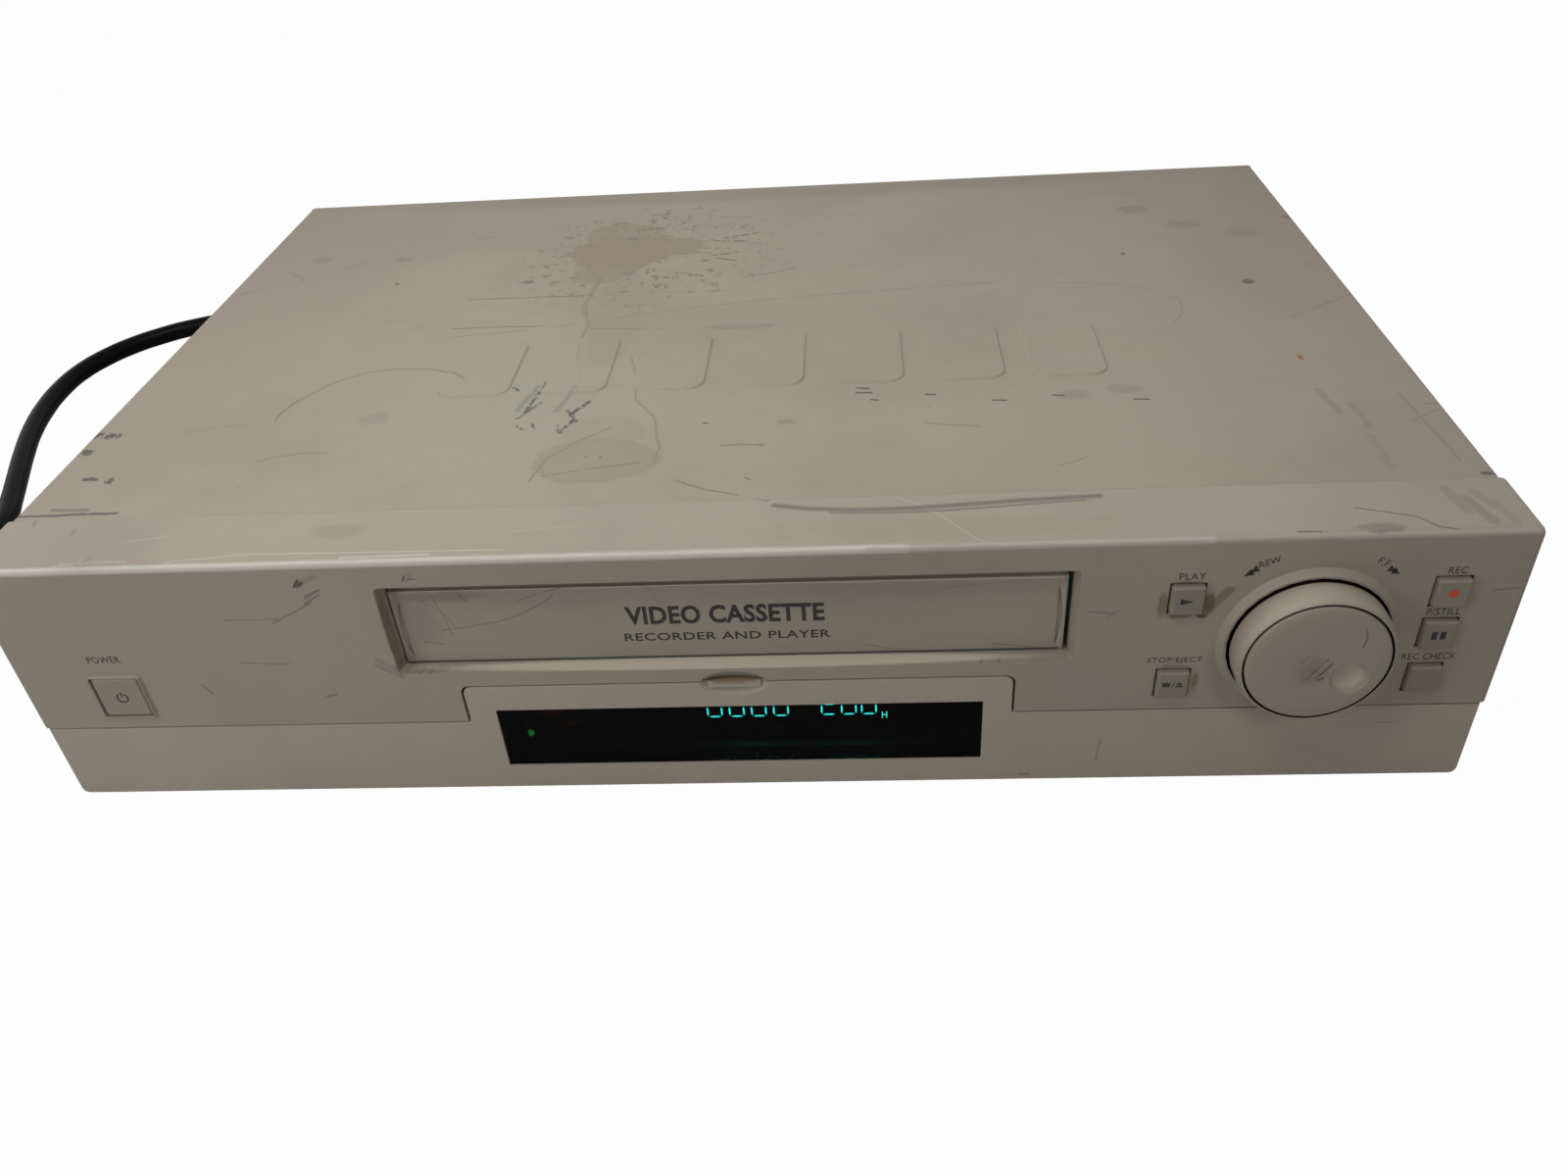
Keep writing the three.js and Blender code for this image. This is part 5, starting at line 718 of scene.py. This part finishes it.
def flap_plastic():
    f = case_plastic("worn_flap")
    f.blots(FLAP, 3, SCUFF, [(-80, 72.3, 17, 2.6, 0.42)], 0.25, 0.7, 5.0)
    f.blots(FLAP, 3, SCUFF, [(-88, 62, 7, 11, 0.25)], 0.25, 0.7, 6.0)
    # Painted highlight along the flap's top edge
    f.path(FLAP, [(-94, 74.3), (-11, 74.1), (93, 73.6)], 0.55, FLAP_EDGE_PAINTED_HIGHLIGHT, 0.75, 0.1, 0.15)
    f.path(FLAP, [(-97, 48.6), (93, 48.6)], 0.7, INKY, 0.9, 0.03, 0)
    f.paths(FLAP, FLAP_GRIP, [(1.5, 0.45, (93.4, 71.6), (93.5, 49.6)),
                              (1.5, 0.5, (-95.6, 73), (-95.4, 56))], 0.05, 0)
    f.paths(FLAP, SCUFF, FLAP_SCUFFS, 0.3, 0.25)
    return f.done()


def door_plastic():
    # The door takes the lighter tones, as painted light
    f = case_plastic("worn_door", PAINTED_LIGHTER_DOOR, PAINTED_LIGHTER_DOOR_SHADE)
    f.blot((0, 4, 42.4), (10, 6, 2.2), FINGER_BROWN, 0.85, 0.15, 0.3, 3.0)
    f.paths(FACE, SCUFF, [(0.7, 0.5, (107.1, 17), (106.5, 8)), (1.0, 0.6, (84, 2.6), (87, 2.9)),
                          (1.2, 0.35, (186, 21.7), (190, 21.7))])
    return f.done()


def knob_plastic():
    f = case_plastic("worn_knob")
    f.blots(HOLLOW, 3, SCUFF, [(160, 50.5, 7, 6.5, 0.38)], 0.25, 0.8, 4.0)
    # Painted light over the finger dish
    f.blot((169.3, -9, 48.3), (5.2, 3, 5.2), DISH_PAINTED_LIGHT, 0.8, 0.05, 0.25, 3.0)
    f.paths(HOLLOW, DIAL_DARK, [
        (0.5, 0.8, (159.4, 49.4), (162.9, 54.3)), (0.5, 0.85, (161, 48), (164.4, 53)),
        (0.4, 0.6, (158.5, 50.6), (161, 54.4)), (0.5, 0.6, (157, 47.6), (159.4, 48.2)),
        (0.8, 0.85, (161.4, 47.4), (162.8, 48)), (0.4, 0.5, (155.6, 53.5), (157.8, 55.8)),
    ], 0.15, 0.25)
    f.path(DIAL, [(170.5, 65.5), (171.2, 62), (170.7, 59)], 0.7, DIAL_DARK, 0.5, 0.15, 0.25)
    return f.done()


def plain(name, colour, shade, roughness, metallic=0.0, patch=30.0, pitch=0.6, depth=0.12, gloss=0.5):
    return Finish(name, roughness, metallic, gloss).tone(colour, shade, patch).grain(pitch, depth).done()


COVER_PAINT = cover_paint()
FRONT_PLASTIC = front_plastic()
FLAP_PLASTIC = flap_plastic()
DOOR_PLASTIC = door_plastic()
KNOB_PLASTIC = knob_plastic()
# Near-black for the walls in the knob's gaps: painted shade
PAINTED_GAP_SHADE = plain("gap_dark", (0.01, 0.009, 0.008), (0.016, 0.014, 0.012), 0.8, gloss=0.1)
# The keys' plastics are darker copies of the case plastic, painted shade for their upright faces; the small
# keys are painted darker still
SHADED_KEY_PLASTIC = plain("key_plastic", (0.335, 0.3, 0.24), (0.3, 0.268, 0.215), 0.45, gloss=0.3)
SHADED_SMALL_KEY_PLASTIC = plain("small_key_plastic", (0.285, 0.255, 0.205), (0.26, 0.232, 0.188), 0.45, gloss=0.3)
STEEL = plain("zinc_steel", (0.5, 0.5, 0.5), (0.4, 0.4, 0.42), 0.36, 1.0, 18.0, 0.4, 0.1)
DRUM_METAL = plain("turned_aluminium", (0.62, 0.62, 0.63), (0.55, 0.55, 0.57), 0.22, 1.0, 12.0, 0.3, 0.08)
BOARD = plain("board_green", (0.03, 0.1, 0.045), (0.02, 0.075, 0.035), 0.45, 0.0, 14.0, 1.2, 0.3)
BLACK = plain("black_plastic", (0.016, 0.016, 0.018), (0.022, 0.022, 0.024), 0.42)
WHITE = plain("white_acetal", (0.62, 0.6, 0.54), (0.56, 0.54, 0.48), 0.4)
RUBBER = plain("rubber", (0.018, 0.018, 0.018), (0.026, 0.025, 0.024), 0.7)
JACKET = plain("lead_jacket", (0.004, 0.004, 0.005), (0.007, 0.007, 0.008), 0.25, 0.0, 60.0, 1.5, 0.05, 0.03)
TUBE_GLASS = plain("tube_glass", (0.008, 0.01, 0.01), (0.012, 0.014, 0.014), 0.2, gloss=0.1)
RED_INK = plain("red_ink", (0.62, 0.09, 0.03), (0.56, 0.08, 0.03), 0.5)
LETTERING = plain("printed_ink", INK, (0.024, 0.022, 0.02), 0.6)


def window_material():
    f = Finish("smoked_window", roughness=0.06, gloss=0.0)
    f.tone((0.022, 0.013, 0.013), (0.018, 0.011, 0.011), 40.0)
    return f.fixed("Transmission Weight", 1.0).fixed("IOR", 1.15).done()


def lit(name, colour, strength):
    f = Finish(name, roughness=0.4).tone((0.01, 0.01, 0.01), (0.012, 0.012, 0.012))
    glow = f.lay(MOTTLE, tone=colour, shade=colour, patch=8.0)
    f.put(f.shader.inputs["Emission Color"], glow["Colour"])
    return f.fixed("Emission Strength", strength).done()


SMOKED = window_material()
DIGITS = lit("lit_digits", (0.02, 0.75, 0.7), 100.0)
GREEN_DOT = lit("green_dot", (0.05, 0.8, 0.15), 9.0)
FAINT = lit("faint_legend", (0.3, 0.16, 0.07), 2.0)

dress(STEEL, "base_pan", "rear_panel", "deck_chassis", "left_bracket", "right_bracket", "cassette_basket",
      "capstan", "transformer", "audio_control_head", "erase_head", "pinch_arm", "tension_arm",
      "loading_motor", "left_cover_screw", "right_cover_screw", "video_in_socket", "video_out_socket")
dress(DRUM_METAL, "upper_drum", "lower_drum")
dress(BOARD, "main_board", "power_board", "display_board", "key_board")
dress(BLACK, "audio_sockets", "alarm_terminals", "mains_inlet", "supply_reel", "take_up_reel",
      "clutch_pulley", "cord_tie")
dress(WHITE, "cam_gear", "loading_worm", "loading_rack", "supply_guide", "take_up_guide")
dress(RUBBER, "front_left_foot", "front_right_foot", "rear_left_foot", "rear_right_foot", "drive_belt",
      "pinch_roller")
dress(TUBE_GLASS, "display_tube")
dress(JACKET, "cord_connector", "cord_plug")
dress(SMOKED, "door_window")

MERGED = 0.00002
FLAT_TURN = 0.5
SHARP_TURN = 40
SMOOTH_TURN = 50


# A sharper copy of a solid, with its moulded or folded edges rounded
def refined(node, name, body, material, edge):
    piece = placed(name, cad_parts[node].data.copy())
    only(piece)
    edit_mode()
    bpy.ops.mesh.select_all(action="SELECT")
    bpy.ops.mesh.remove_doubles(threshold=MERGED)
    bpy.ops.mesh.dissolve_limited(angle_limit=math.radians(FLAT_TURN))
    object_mode()
    round_edges(piece, edge, SHARP_TURN)
    bpy.ops.object.shade_smooth_by_angle(angle=math.radians(SMOOTH_TURN))
    evened = piece.modifiers.new("evened", "WEIGHTED_NORMAL")
    evened.weight = 100
    evened.keep_sharp = True
    bpy.ops.object.modifier_apply(modifier="evened")
    coat(piece, material)
    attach(piece, body)
    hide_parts(node)


# Camera
camera_data = bpy.data.cameras.new("camera")
camera = placed("camera", camera_data)
camera.location = (0.039136, -0.417749, 0.283835)
camera.rotation_euler = [math.radians(turn) for turn in (53.402, 3.401, 2.18)]
camera_data.lens = 28.607
camera_data.sensor_width = 36.0
camera_data.sensor_fit = "HORIZONTAL"
camera_data.clip_start = 0.01
bpy.context.scene.camera = camera

# Mains lead: its way from the connector, round the coil behind the recorder and on to the plug at its left
LEAD_THICK = 9.0
LEAD_LIES = 4.6
LEAD_WAY = [(-150, 332.9, 27.0), (-150, 345, 26.9), (-148.5, 362, 25.6), (-142, 379, 21.5), (-129, 395, 15.8),
            (-110, 407.5, 10.2), (-86, 415.5, 6.4), (-60, 420.2, 4.9)]
DESK_WAY = [(-118, 309.6), (-152, 313.5), (-186, 324), (-217, 340), (-247, 357), (-276, 368.5),
            (-307, 371), (-335, 361), (-348, 352), (-359, 341), (-368, 326), (-373, 310), (-374, 291),
            (-371, 268), (-365, 245), (-357, 223), (-348, 201), (-341, 184)]
RUN_WAY = [(-55, 307.4, 9.6), (-86, 308.3, 5.6), *[(x, y, LEAD_LIES) for x, y in DESK_WAY],
           (-335, 169, 4.9), (-331.4, 153, 6.6), (-332, 139, 9.2), (-336, 128, 10.9), (-341.5, 119.8, 11.1)]
COIL_CENTRE = (-20, 365)
COIL_RADIUS = 56.5
COIL_TURNS = 3.5
STEPS_PER_TURN = 24
TURN_STEP = 10
LAYER_RISE = 9.6
CROSSING_RISE = 2
CROSSING_SPAN = 60


def eased(share):
    share = min(max(share, 0.0), 1.0)
    return share * share * (3 - 2 * share)


# The coil winds inwards on the desk, climbs half a turn before its middle and winds outwards on itself
def coil_place(turn):
    middle = COIL_TURNS / 2
    radius = COIL_RADIUS - TURN_STEP * (middle - abs(turn - middle))
    angle = math.pi / 2 - 2 * math.pi * turn
    from_east = abs(math.degrees(math.atan2(math.sin(angle), math.cos(angle))))
    height = LEAD_LIES + LAYER_RISE * eased((turn - 1.5) / 0.5)
    height += CROSSING_RISE * (1 - eased(from_east / CROSSING_SPAN))
    return (COIL_CENTRE[0] + radius * math.cos(angle), COIL_CENTRE[1] + radius * math.sin(angle), height)


def lead():
    steps = round(COIL_TURNS * STEPS_PER_TURN)
    coil = [coil_place(COIL_TURNS * i / steps) for i in range(steps + 1)]
    into, out_of = [(point[0] - LEAD_THICK, *point[1:]) for point in (coil[0], coil[-1])]
    way = [on_desk(*point) for point in [*LEAD_WAY, into, *coil, out_of, *RUN_WAY]]
    curve = bpy.data.curves.new("mains_lead", "CURVE")
    curve.dimensions = "3D"
    spline = curve.splines.new("BEZIER")
    spline.bezier_points.add(len(way) - 1)
    for knot, point in zip(spline.bezier_points, way):
        knot.co = point
        knot.handle_left_type = knot.handle_right_type = "AUTO"
    curve.bevel_depth = LEAD_THICK / 2 * MM
    curve.bevel_resolution = 6
    curve.resolution_u = 8
    curve.use_fill_caps = True
    piece = placed("mains_lead", curve)
    coat(piece, JACKET)
    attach(piece, "chassis")
    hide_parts("cord_lead", "cord_coil", "cord_run")


lead()
refined("front_panel", "moulded_front", "chassis", FRONT_PLASTIC, 0.35)
refined("top_cover", "folded_cover", "chassis", COVER_PAINT, 0.5)
refined("drop_door", "moulded_door", "door", DOOR_PLASTIC, 0.3)
refined("cassette_flap", "moulded_flap", "flap", FLAP_PLASTIC, 0.25)
refined("power_button", "power_cap", "power_key", SHADED_KEY_PLASTIC, 0.3)
for key in ("play", "stop", "rec", "still", "rec_check"):
    refined(f"{key}_button", f"{key}_cap", f"{key}_key", SHADED_SMALL_KEY_PLASTIC, 0.25)

# The knob is turned: a disc grows by steps, each so far inwards and then so far along its axis
KNOB = (160.2, 53.5)
KNOB_SIDES = 144
KNOB_EDGE = 0.18
GRIP_RADIUS = 21.3
GRIP_AHEAD = [(1.0, 2.0), (0.45, 0), (0, -6.0), (15.85, 0)]
GRIP_BEHIND = [(0.5, 0), (0, 4.3), (1.0, 0), (0, -4.5), (11.8, 0), (0, 9.7), (4.0, 0)]
DISC_RADIUS = 19.25
DISC_AHEAD = [(0.4, 0.45), (0.75, 0.25), (3.1, -0.1), (3.0, -0.18), (3.0, -0.22), (3.0, -0.25), (3.0, -0.25),
              (1.6, -0.15)]
DISC_BEHIND = [(16.3, 0), (0, 12.2)]
DISH_RADIUS = 7.5


def pick_disc(piece, *depths):
    middles = [at(KNOB[0], depth, KNOB[1]) for depth in depths]
    for face in piece.data.polygons:
        face.select = any((face.center - middle).length < 0.2 * MM for middle in middles)
    chosen = sum(face.select for face in piece.data.polygons)
    if chosen != len(depths):
        raise RuntimeError(f"{piece.name}: {chosen} faces at {depths}")


def turned_piece(name, radius, rear, front, ahead, behind, through=False):
    select_none()
    bpy.ops.mesh.primitive_cylinder_add(vertices=KNOB_SIDES, radius=radius * MM, depth=(rear - front) * MM,
                                        location=at(KNOB[0], (rear + front) / 2, KNOB[1]),
                                        rotation=(math.pi / 2, 0, 0))
    piece = named(settled(), name)
    edit_mode()
    bpy.ops.mesh.select_mode(type="FACE")
    none_in_mesh()
    ends = []
    for depth, way, steps in ((front, -1, ahead), (rear, 1, behind)):
        for inwards, outwards in steps:
            pick_disc(piece, depth)
            edit_mode()
            if inwards:
                bpy.ops.mesh.inset(thickness=inwards * MM, depth=outwards * MM)
            else:
                move = {"value": (0, way * outwards * MM, 0)}
                bpy.ops.mesh.extrude_region_move(TRANSFORM_OT_translate=move)
            object_mode()
            depth += way * outwards
        ends.append(depth)
    if through:
        pick_disc(piece, *ends)
        edit_mode()
        bpy.ops.mesh.bridge_edge_loops()
        object_mode()
    round_edges(piece, KNOB_EDGE, 35)
    return piece


# The walls that face each other across the knob's gaps take a near-black material: painted shade in the gaps
def darken_walls(piece, least, most):
    for face in piece.data.polygons:
        off = face.center - at(KNOB[0], 0, KNOB[1])
        reach = math.hypot(off.x, off.z) / MM
        if abs(face.normal.y) < 0.2 and least < reach < most:
            face.material_index = 1


# A ball leaves the finger dish in the dial's face
def press_dish(disc):
    select_none()
    bpy.ops.mesh.primitive_uv_sphere_add(segments=96, ring_count=64, radius=DISH_RADIUS * MM,
                                         location=at(KNOB[0] + 9.1, -16.0, KNOB[1] - 5.2))
    ball = settled()
    only(disc)
    hollow = disc.modifiers.new("finger_dish", "BOOLEAN")
    hollow.operation = "DIFFERENCE"
    hollow.solver = "EXACT"
    hollow.object = ball
    bpy.ops.object.modifier_apply(modifier="finger_dish")
    bpy.data.objects.remove(ball)


def knob():
    grip = turned_piece("shuttle_grip", GRIP_RADIUS, -2.3, -8.5, GRIP_AHEAD, GRIP_BEHIND, through=True)
    disc = turned_piece("jog_disc", DISC_RADIUS, -5.0, -10.3, DISC_AHEAD, DISC_BEHIND)
    press_dish(disc)
    for piece, node, body, least, most in ((grip, "shuttle_ring", "shuttle", 19.5, 21.0),
                                           (disc, "jog_dial", "jog", 19.0, 19.4)):
        only(piece)
        bpy.ops.object.shade_smooth_by_angle(angle=math.radians(25))
        coat(piece, KNOB_PLASTIC, PAINTED_GAP_SHADE)
        darken_walls(piece, least, most)
        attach(piece, body)
        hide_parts(node)


knob()

# Printing lies a hair's breadth proud of the face that carries it
INK_THICK = 0.03
FLAP_FACE = 4.5
KEY_FACE = -1.8
POWER_FACE = -0.6
TUBE_FACE = 15.25


# Fits a flat shape between its lower left corner, its lower right one and its upper left one
def print_on(corners, face, material, thick=INK_THICK):
    piece = bpy.context.object
    low, size = [], []
    for axis in range(3):
        values = [vertex.co[axis] for vertex in piece.data.vertices]
        low.append(min(values))
        size.append(max(values) - min(values))
    origin, right, up = [at(x, face, z) for x, z in corners]
    out = Vector((0, -thick * MM, 0))
    sides = [way / long for way, long in zip((right - origin, up - origin, out), size)]
    turn = Matrix(sides).transposed().to_4x4()
    piece.data.transform(Matrix.Translation(origin) @ turn @ Matrix.Translation(-Vector(low)))
    piece.matrix_world = Matrix.Identity(4)
    coat(piece, material)
    return piece


def level(left, right, low, high):
    return (left, low), (right, low), (left, high)


def word(text, corners, face=0.0, material=LETTERING, weight=0.0, spacing=1.06):
    select_none()
    bpy.ops.object.text_add(location=(0, 0, 0))
    letters = bpy.context.object.data
    letters.body = text
    letters.extrude = 0.02
    letters.offset = weight
    letters.resolution_u = 3
    letters.space_character = spacing
    bpy.ops.object.convert(target="MESH")
    return print_on(corners, face, material)


# A flat sign with straight or round sides
def sign(sides, turn, corners, face, material=LETTERING, thick=INK_THICK):
    select_none()
    turn = math.radians(turn)
    bpy.ops.mesh.primitive_cylinder_add(vertices=sides, radius=1, depth=1, rotation=(0, 0, turn))
    settled()
    return print_on(corners, face, material, thick)


def box_sign(corners, face):
    return sign(4, 45, corners, face)


# A small triangle whose foot runs from corner to right, with its tip at point
def tip(corner, right, point, face=0.0):
    foot = ((corner[0] + right[0]) / 2, (corner[1] + right[1]) / 2)
    up = (corner[0] + point[0] - foot[0], corner[1] + point[1] - foot[1])
    return sign(3, 0, (corner, right, up), face)


def gathered(name, pieces, body):
    only(*pieces)
    if len(pieces) > 1:
        bpy.ops.object.join()
    piece = named(bpy.context.object, name)
    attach(piece, body)


def lettering():
    gathered("front_lettering", [
        word("POWER", level(-190.1, -180.1, 54.3, 56.7)),
        word("PLAY", level(122.9, 129.9, 75.0, 77.2)),
        word("STOP/EJECT", level(117.6, 132.9, 45.6, 47.9)),
        word("REC", level(192.8, 197.7, 74.9, 77.1)),
        word("P/STILL", level(190.4, 199.4, 61.0, 63.3)),
        word("REC CHECK", level(187.5, 202.0, 45.3, 47.6)),
        word("REW", ((143.6, 78.2), (148.9, 80.2), (143.0, 80.2))),
        word("F.F", ((173.6, 78.9), (176.5, 77.5), (174.5, 80.9))),
        tip((141.4, 78.1), (142.6, 76.1), (139.7, 75.6)),
        tip((142.6, 79.3), (143.8, 77.3), (141.1, 76.7)),
        tip((177.7, 78.3), (176.7, 76.2), (179.1, 76.1)),
        tip((178.9, 77.5), (177.9, 75.4), (180.3, 75.2)),
    ], "chassis")
    gathered("flap_lettering", [
        word("VIDEO CASSETTE", level(-29.5, 27.2, 60.5, 67.0), FLAP_FACE, weight=0.032, spacing=1.04),
        word("RECORDER AND PLAYER", ((-30.7, 54.6), (28.6, 54.4), (-30.7, 57.4)), FLAP_FACE,
             weight=0.012),
    ], "flap")
    gathered("play_sign", [tip((123.7, 69.9), (123.7, 67.8), (127.3, 68.85), KEY_FACE)], "play_key")
    gathered("rec_sign", [sign(32, 0, level(193.7, 196.4, 68.1, 70.8), KEY_FACE, RED_INK)], "rec_key")
    gathered("still_sign", [box_sign(level(192.7, 194.2, 53.8, 56.5), KEY_FACE),
                            box_sign(level(195.0, 196.5, 53.8, 56.5), KEY_FACE)], "still_key")
    gathered("stop_sign", [
        box_sign(level(122.4, 124.5, 38.4, 40.0), KEY_FACE),
        word("/", level(124.9, 125.9, 38.0, 40.2), KEY_FACE),
        tip((126.1, 39.1), (128.2, 39.1), (127.15, 40.2), KEY_FACE),
        box_sign(level(126.1, 128.2, 38.3, 38.8), KEY_FACE),
    ], "stop_key")
    power_sign()


# A ring that is open at its top, where the bar stands
def power_sign():
    select_none()
    bpy.ops.mesh.primitive_torus_add(major_segments=48, minor_segments=6, major_radius=1.6 * MM,
                                     minor_radius=0.2 * MM, rotation=(math.pi / 2, 0, 0),
                                     location=at(-184.5, POWER_FACE, 41.1))
    ring = settled()
    none_in_mesh()
    top = at(-184.5, POWER_FACE, 42.7)
    for vertex in ring.data.vertices:
        vertex.select = (vertex.co - top).length < 0.75 * MM
    edit_mode()
    bpy.ops.mesh.delete(type="VERT")
    bpy.ops.mesh.select_all(action="SELECT")
    bpy.ops.mesh.fill_holes(sides=8)
    object_mode()
    coat(ring, LETTERING)
    bar = box_sign(level(-184.7, -184.3, 41.4, 43.3), POWER_FACE)
    gathered("power_sign", [ring, bar], "power_key")


# Seven bars to a digit, each from one place in it to another
BARS = {"top": (0, 1, 1, 1), "middle": (0, 0.5, 1, 0.5), "bottom": (0, 0, 1, 0), "upper_left": (0, 0.5, 0, 1),
        "upper_right": (1, 0.5, 1, 1), "lower_left": (0, 0, 0, 0.5), "lower_right": (1, 0, 1, 0.5)}
LIT_BARS = {"0": ("top", "bottom", "upper_left", "upper_right", "lower_left", "lower_right"),
            "2": ("top", "upper_right", "middle", "lower_left", "bottom")}
DIGIT_WIDE = 4.4
DIGIT_HIGH = 8.4
DIGIT_SLANT = 0.5
BAR_HALF = 0.25
BAR_GAP = 0.35
BAR_THICK = 0.05


# The tube lights the digits up behind the window
def digit(figure, left, low):
    made = []
    for bar in LIT_BARS[figure]:
        x0, z0, x1, z1 = BARS[bar]
        near, foot = left + x0 * DIGIT_WIDE + DIGIT_SLANT * z0, low + z0 * DIGIT_HIGH
        far, head = left + x1 * DIGIT_WIDE + DIGIT_SLANT * z1, low + z1 * DIGIT_HIGH
        if x0 == x1:
            turn, corners = 0, level(near - BAR_HALF, near + BAR_HALF, foot + BAR_HALF, head - BAR_HALF)
        else:
            turn, corners = 30, level(near + BAR_GAP, far - BAR_GAP, foot - BAR_HALF, foot + BAR_HALF)
        made.append(sign(6, turn, corners, TUBE_FACE, DIGITS, BAR_THICK))
    return made


def tube_figures():
    bars = []
    for i in range(4):
        bars += digit("0", -11.2 + 6.9 * i, 15.4)
    for i, figure in enumerate("200"):
        bars += digit(figure, 24.4 + 6.2 * i, 15.5)
    gathered("tube_figures", bars, "chassis")
    dot = sign(16, 0, level(-69.4, -67.0, 10.2, 12.4), 14.0, GREEN_DOT, thick=0.6)
    gathered("green_lamp", [dot], "chassis")
    gathered("tube_legends", [
        word("REC", level(-63.6, -56.0, 17.4, 19.2), TUBE_FACE, FAINT),
        word("COUNT", level(-60.0, -50.7, 13.0, 14.6), TUBE_FACE, FAINT),
        word("H", level(43.0, 44.6, 13.6, 16.2), TUBE_FACE, DIGITS),
    ], "chassis")


lettering()
tube_figures()

# Floor, light and the pale surround
FLOOR_GLOW = 0.98
SURROUND_LIGHT = 0.08


def floor():
    bpy.ops.mesh.primitive_plane_add(size=6, location=(0, 0.4, 0))
    ground = settled()
    ground.name = "desk"
    f = Finish("pale_desk", roughness=0.8)
    f.tone((0.62, 0.62, 0.61), (0.6, 0.6, 0.59), 900.0)
    shine = f.node("Emission")
    shine.inputs["Color"].default_value = (1, 1, 1, 1)
    share = f.times(f.node("LightPath").outputs["Is Camera Ray"], FLOOR_GLOW)
    both = f.fill(f.node("MixShader"), share, f.shader.outputs[0], shine.outputs[0])
    f.put(f.tree.nodes["Material Output"].inputs["Surface"], both)
    coat(ground, f.done())


def lamp(name, place, aim, size, power, colour):
    data = bpy.data.lights.new(name, "AREA")
    data.size = size
    data.energy = power
    data.color = colour
    holder = placed(name, data)
    holder.location = place
    holder.rotation_euler = (Vector(aim) - Vector(place)).to_track_quat("-Z", "Y").to_euler()


# The surround is white to the camera, in gloss and through glass, and lights the recorder only faintly
def surround():
    world = bpy.data.worlds.new("surround")
    bpy.context.scene.world = world
    world.use_nodes = True
    g = Graph(world.node_tree)
    seen = g.node("LightPath").outputs
    bright = g.most(seen["Is Camera Ray"], g.most(seen["Is Glossy Ray"], seen["Is Transmission Ray"]))
    back = world.node_tree.nodes["Background"]
    back.inputs["Color"].default_value = (1, 1, 1, 1)
    g.put(back.inputs["Strength"], g.plus(g.times(bright, 1 - SURROUND_LIGHT), SURROUND_LIGHT))


floor()
lamp("softbox_above", (-0.08, -0.02, 0.6), (-0.05, 0, 0.09), 0.25, 1.55, (1.0, 0.985, 0.955))
lamp("softbox_ahead", (-0.08, -0.34, 0.62), (-0.05, -0.08, 0.09), 0.15, 0.66, (1.0, 0.985, 0.955))
lamp("softbox_left", (-0.45, -0.42, 0.32), (-0.15, -0.14, 0.05), 0.2, 0.72, (1.0, 1.0, 0.985))
lamp("softbox_right", (0.28, -0.42, 0.29), (0.15, -0.15, 0.05), 0.07, 0.15, (1.0, 0.97, 0.92))
surround()
bpy.context.scene.view_settings.view_transform = "Standard"
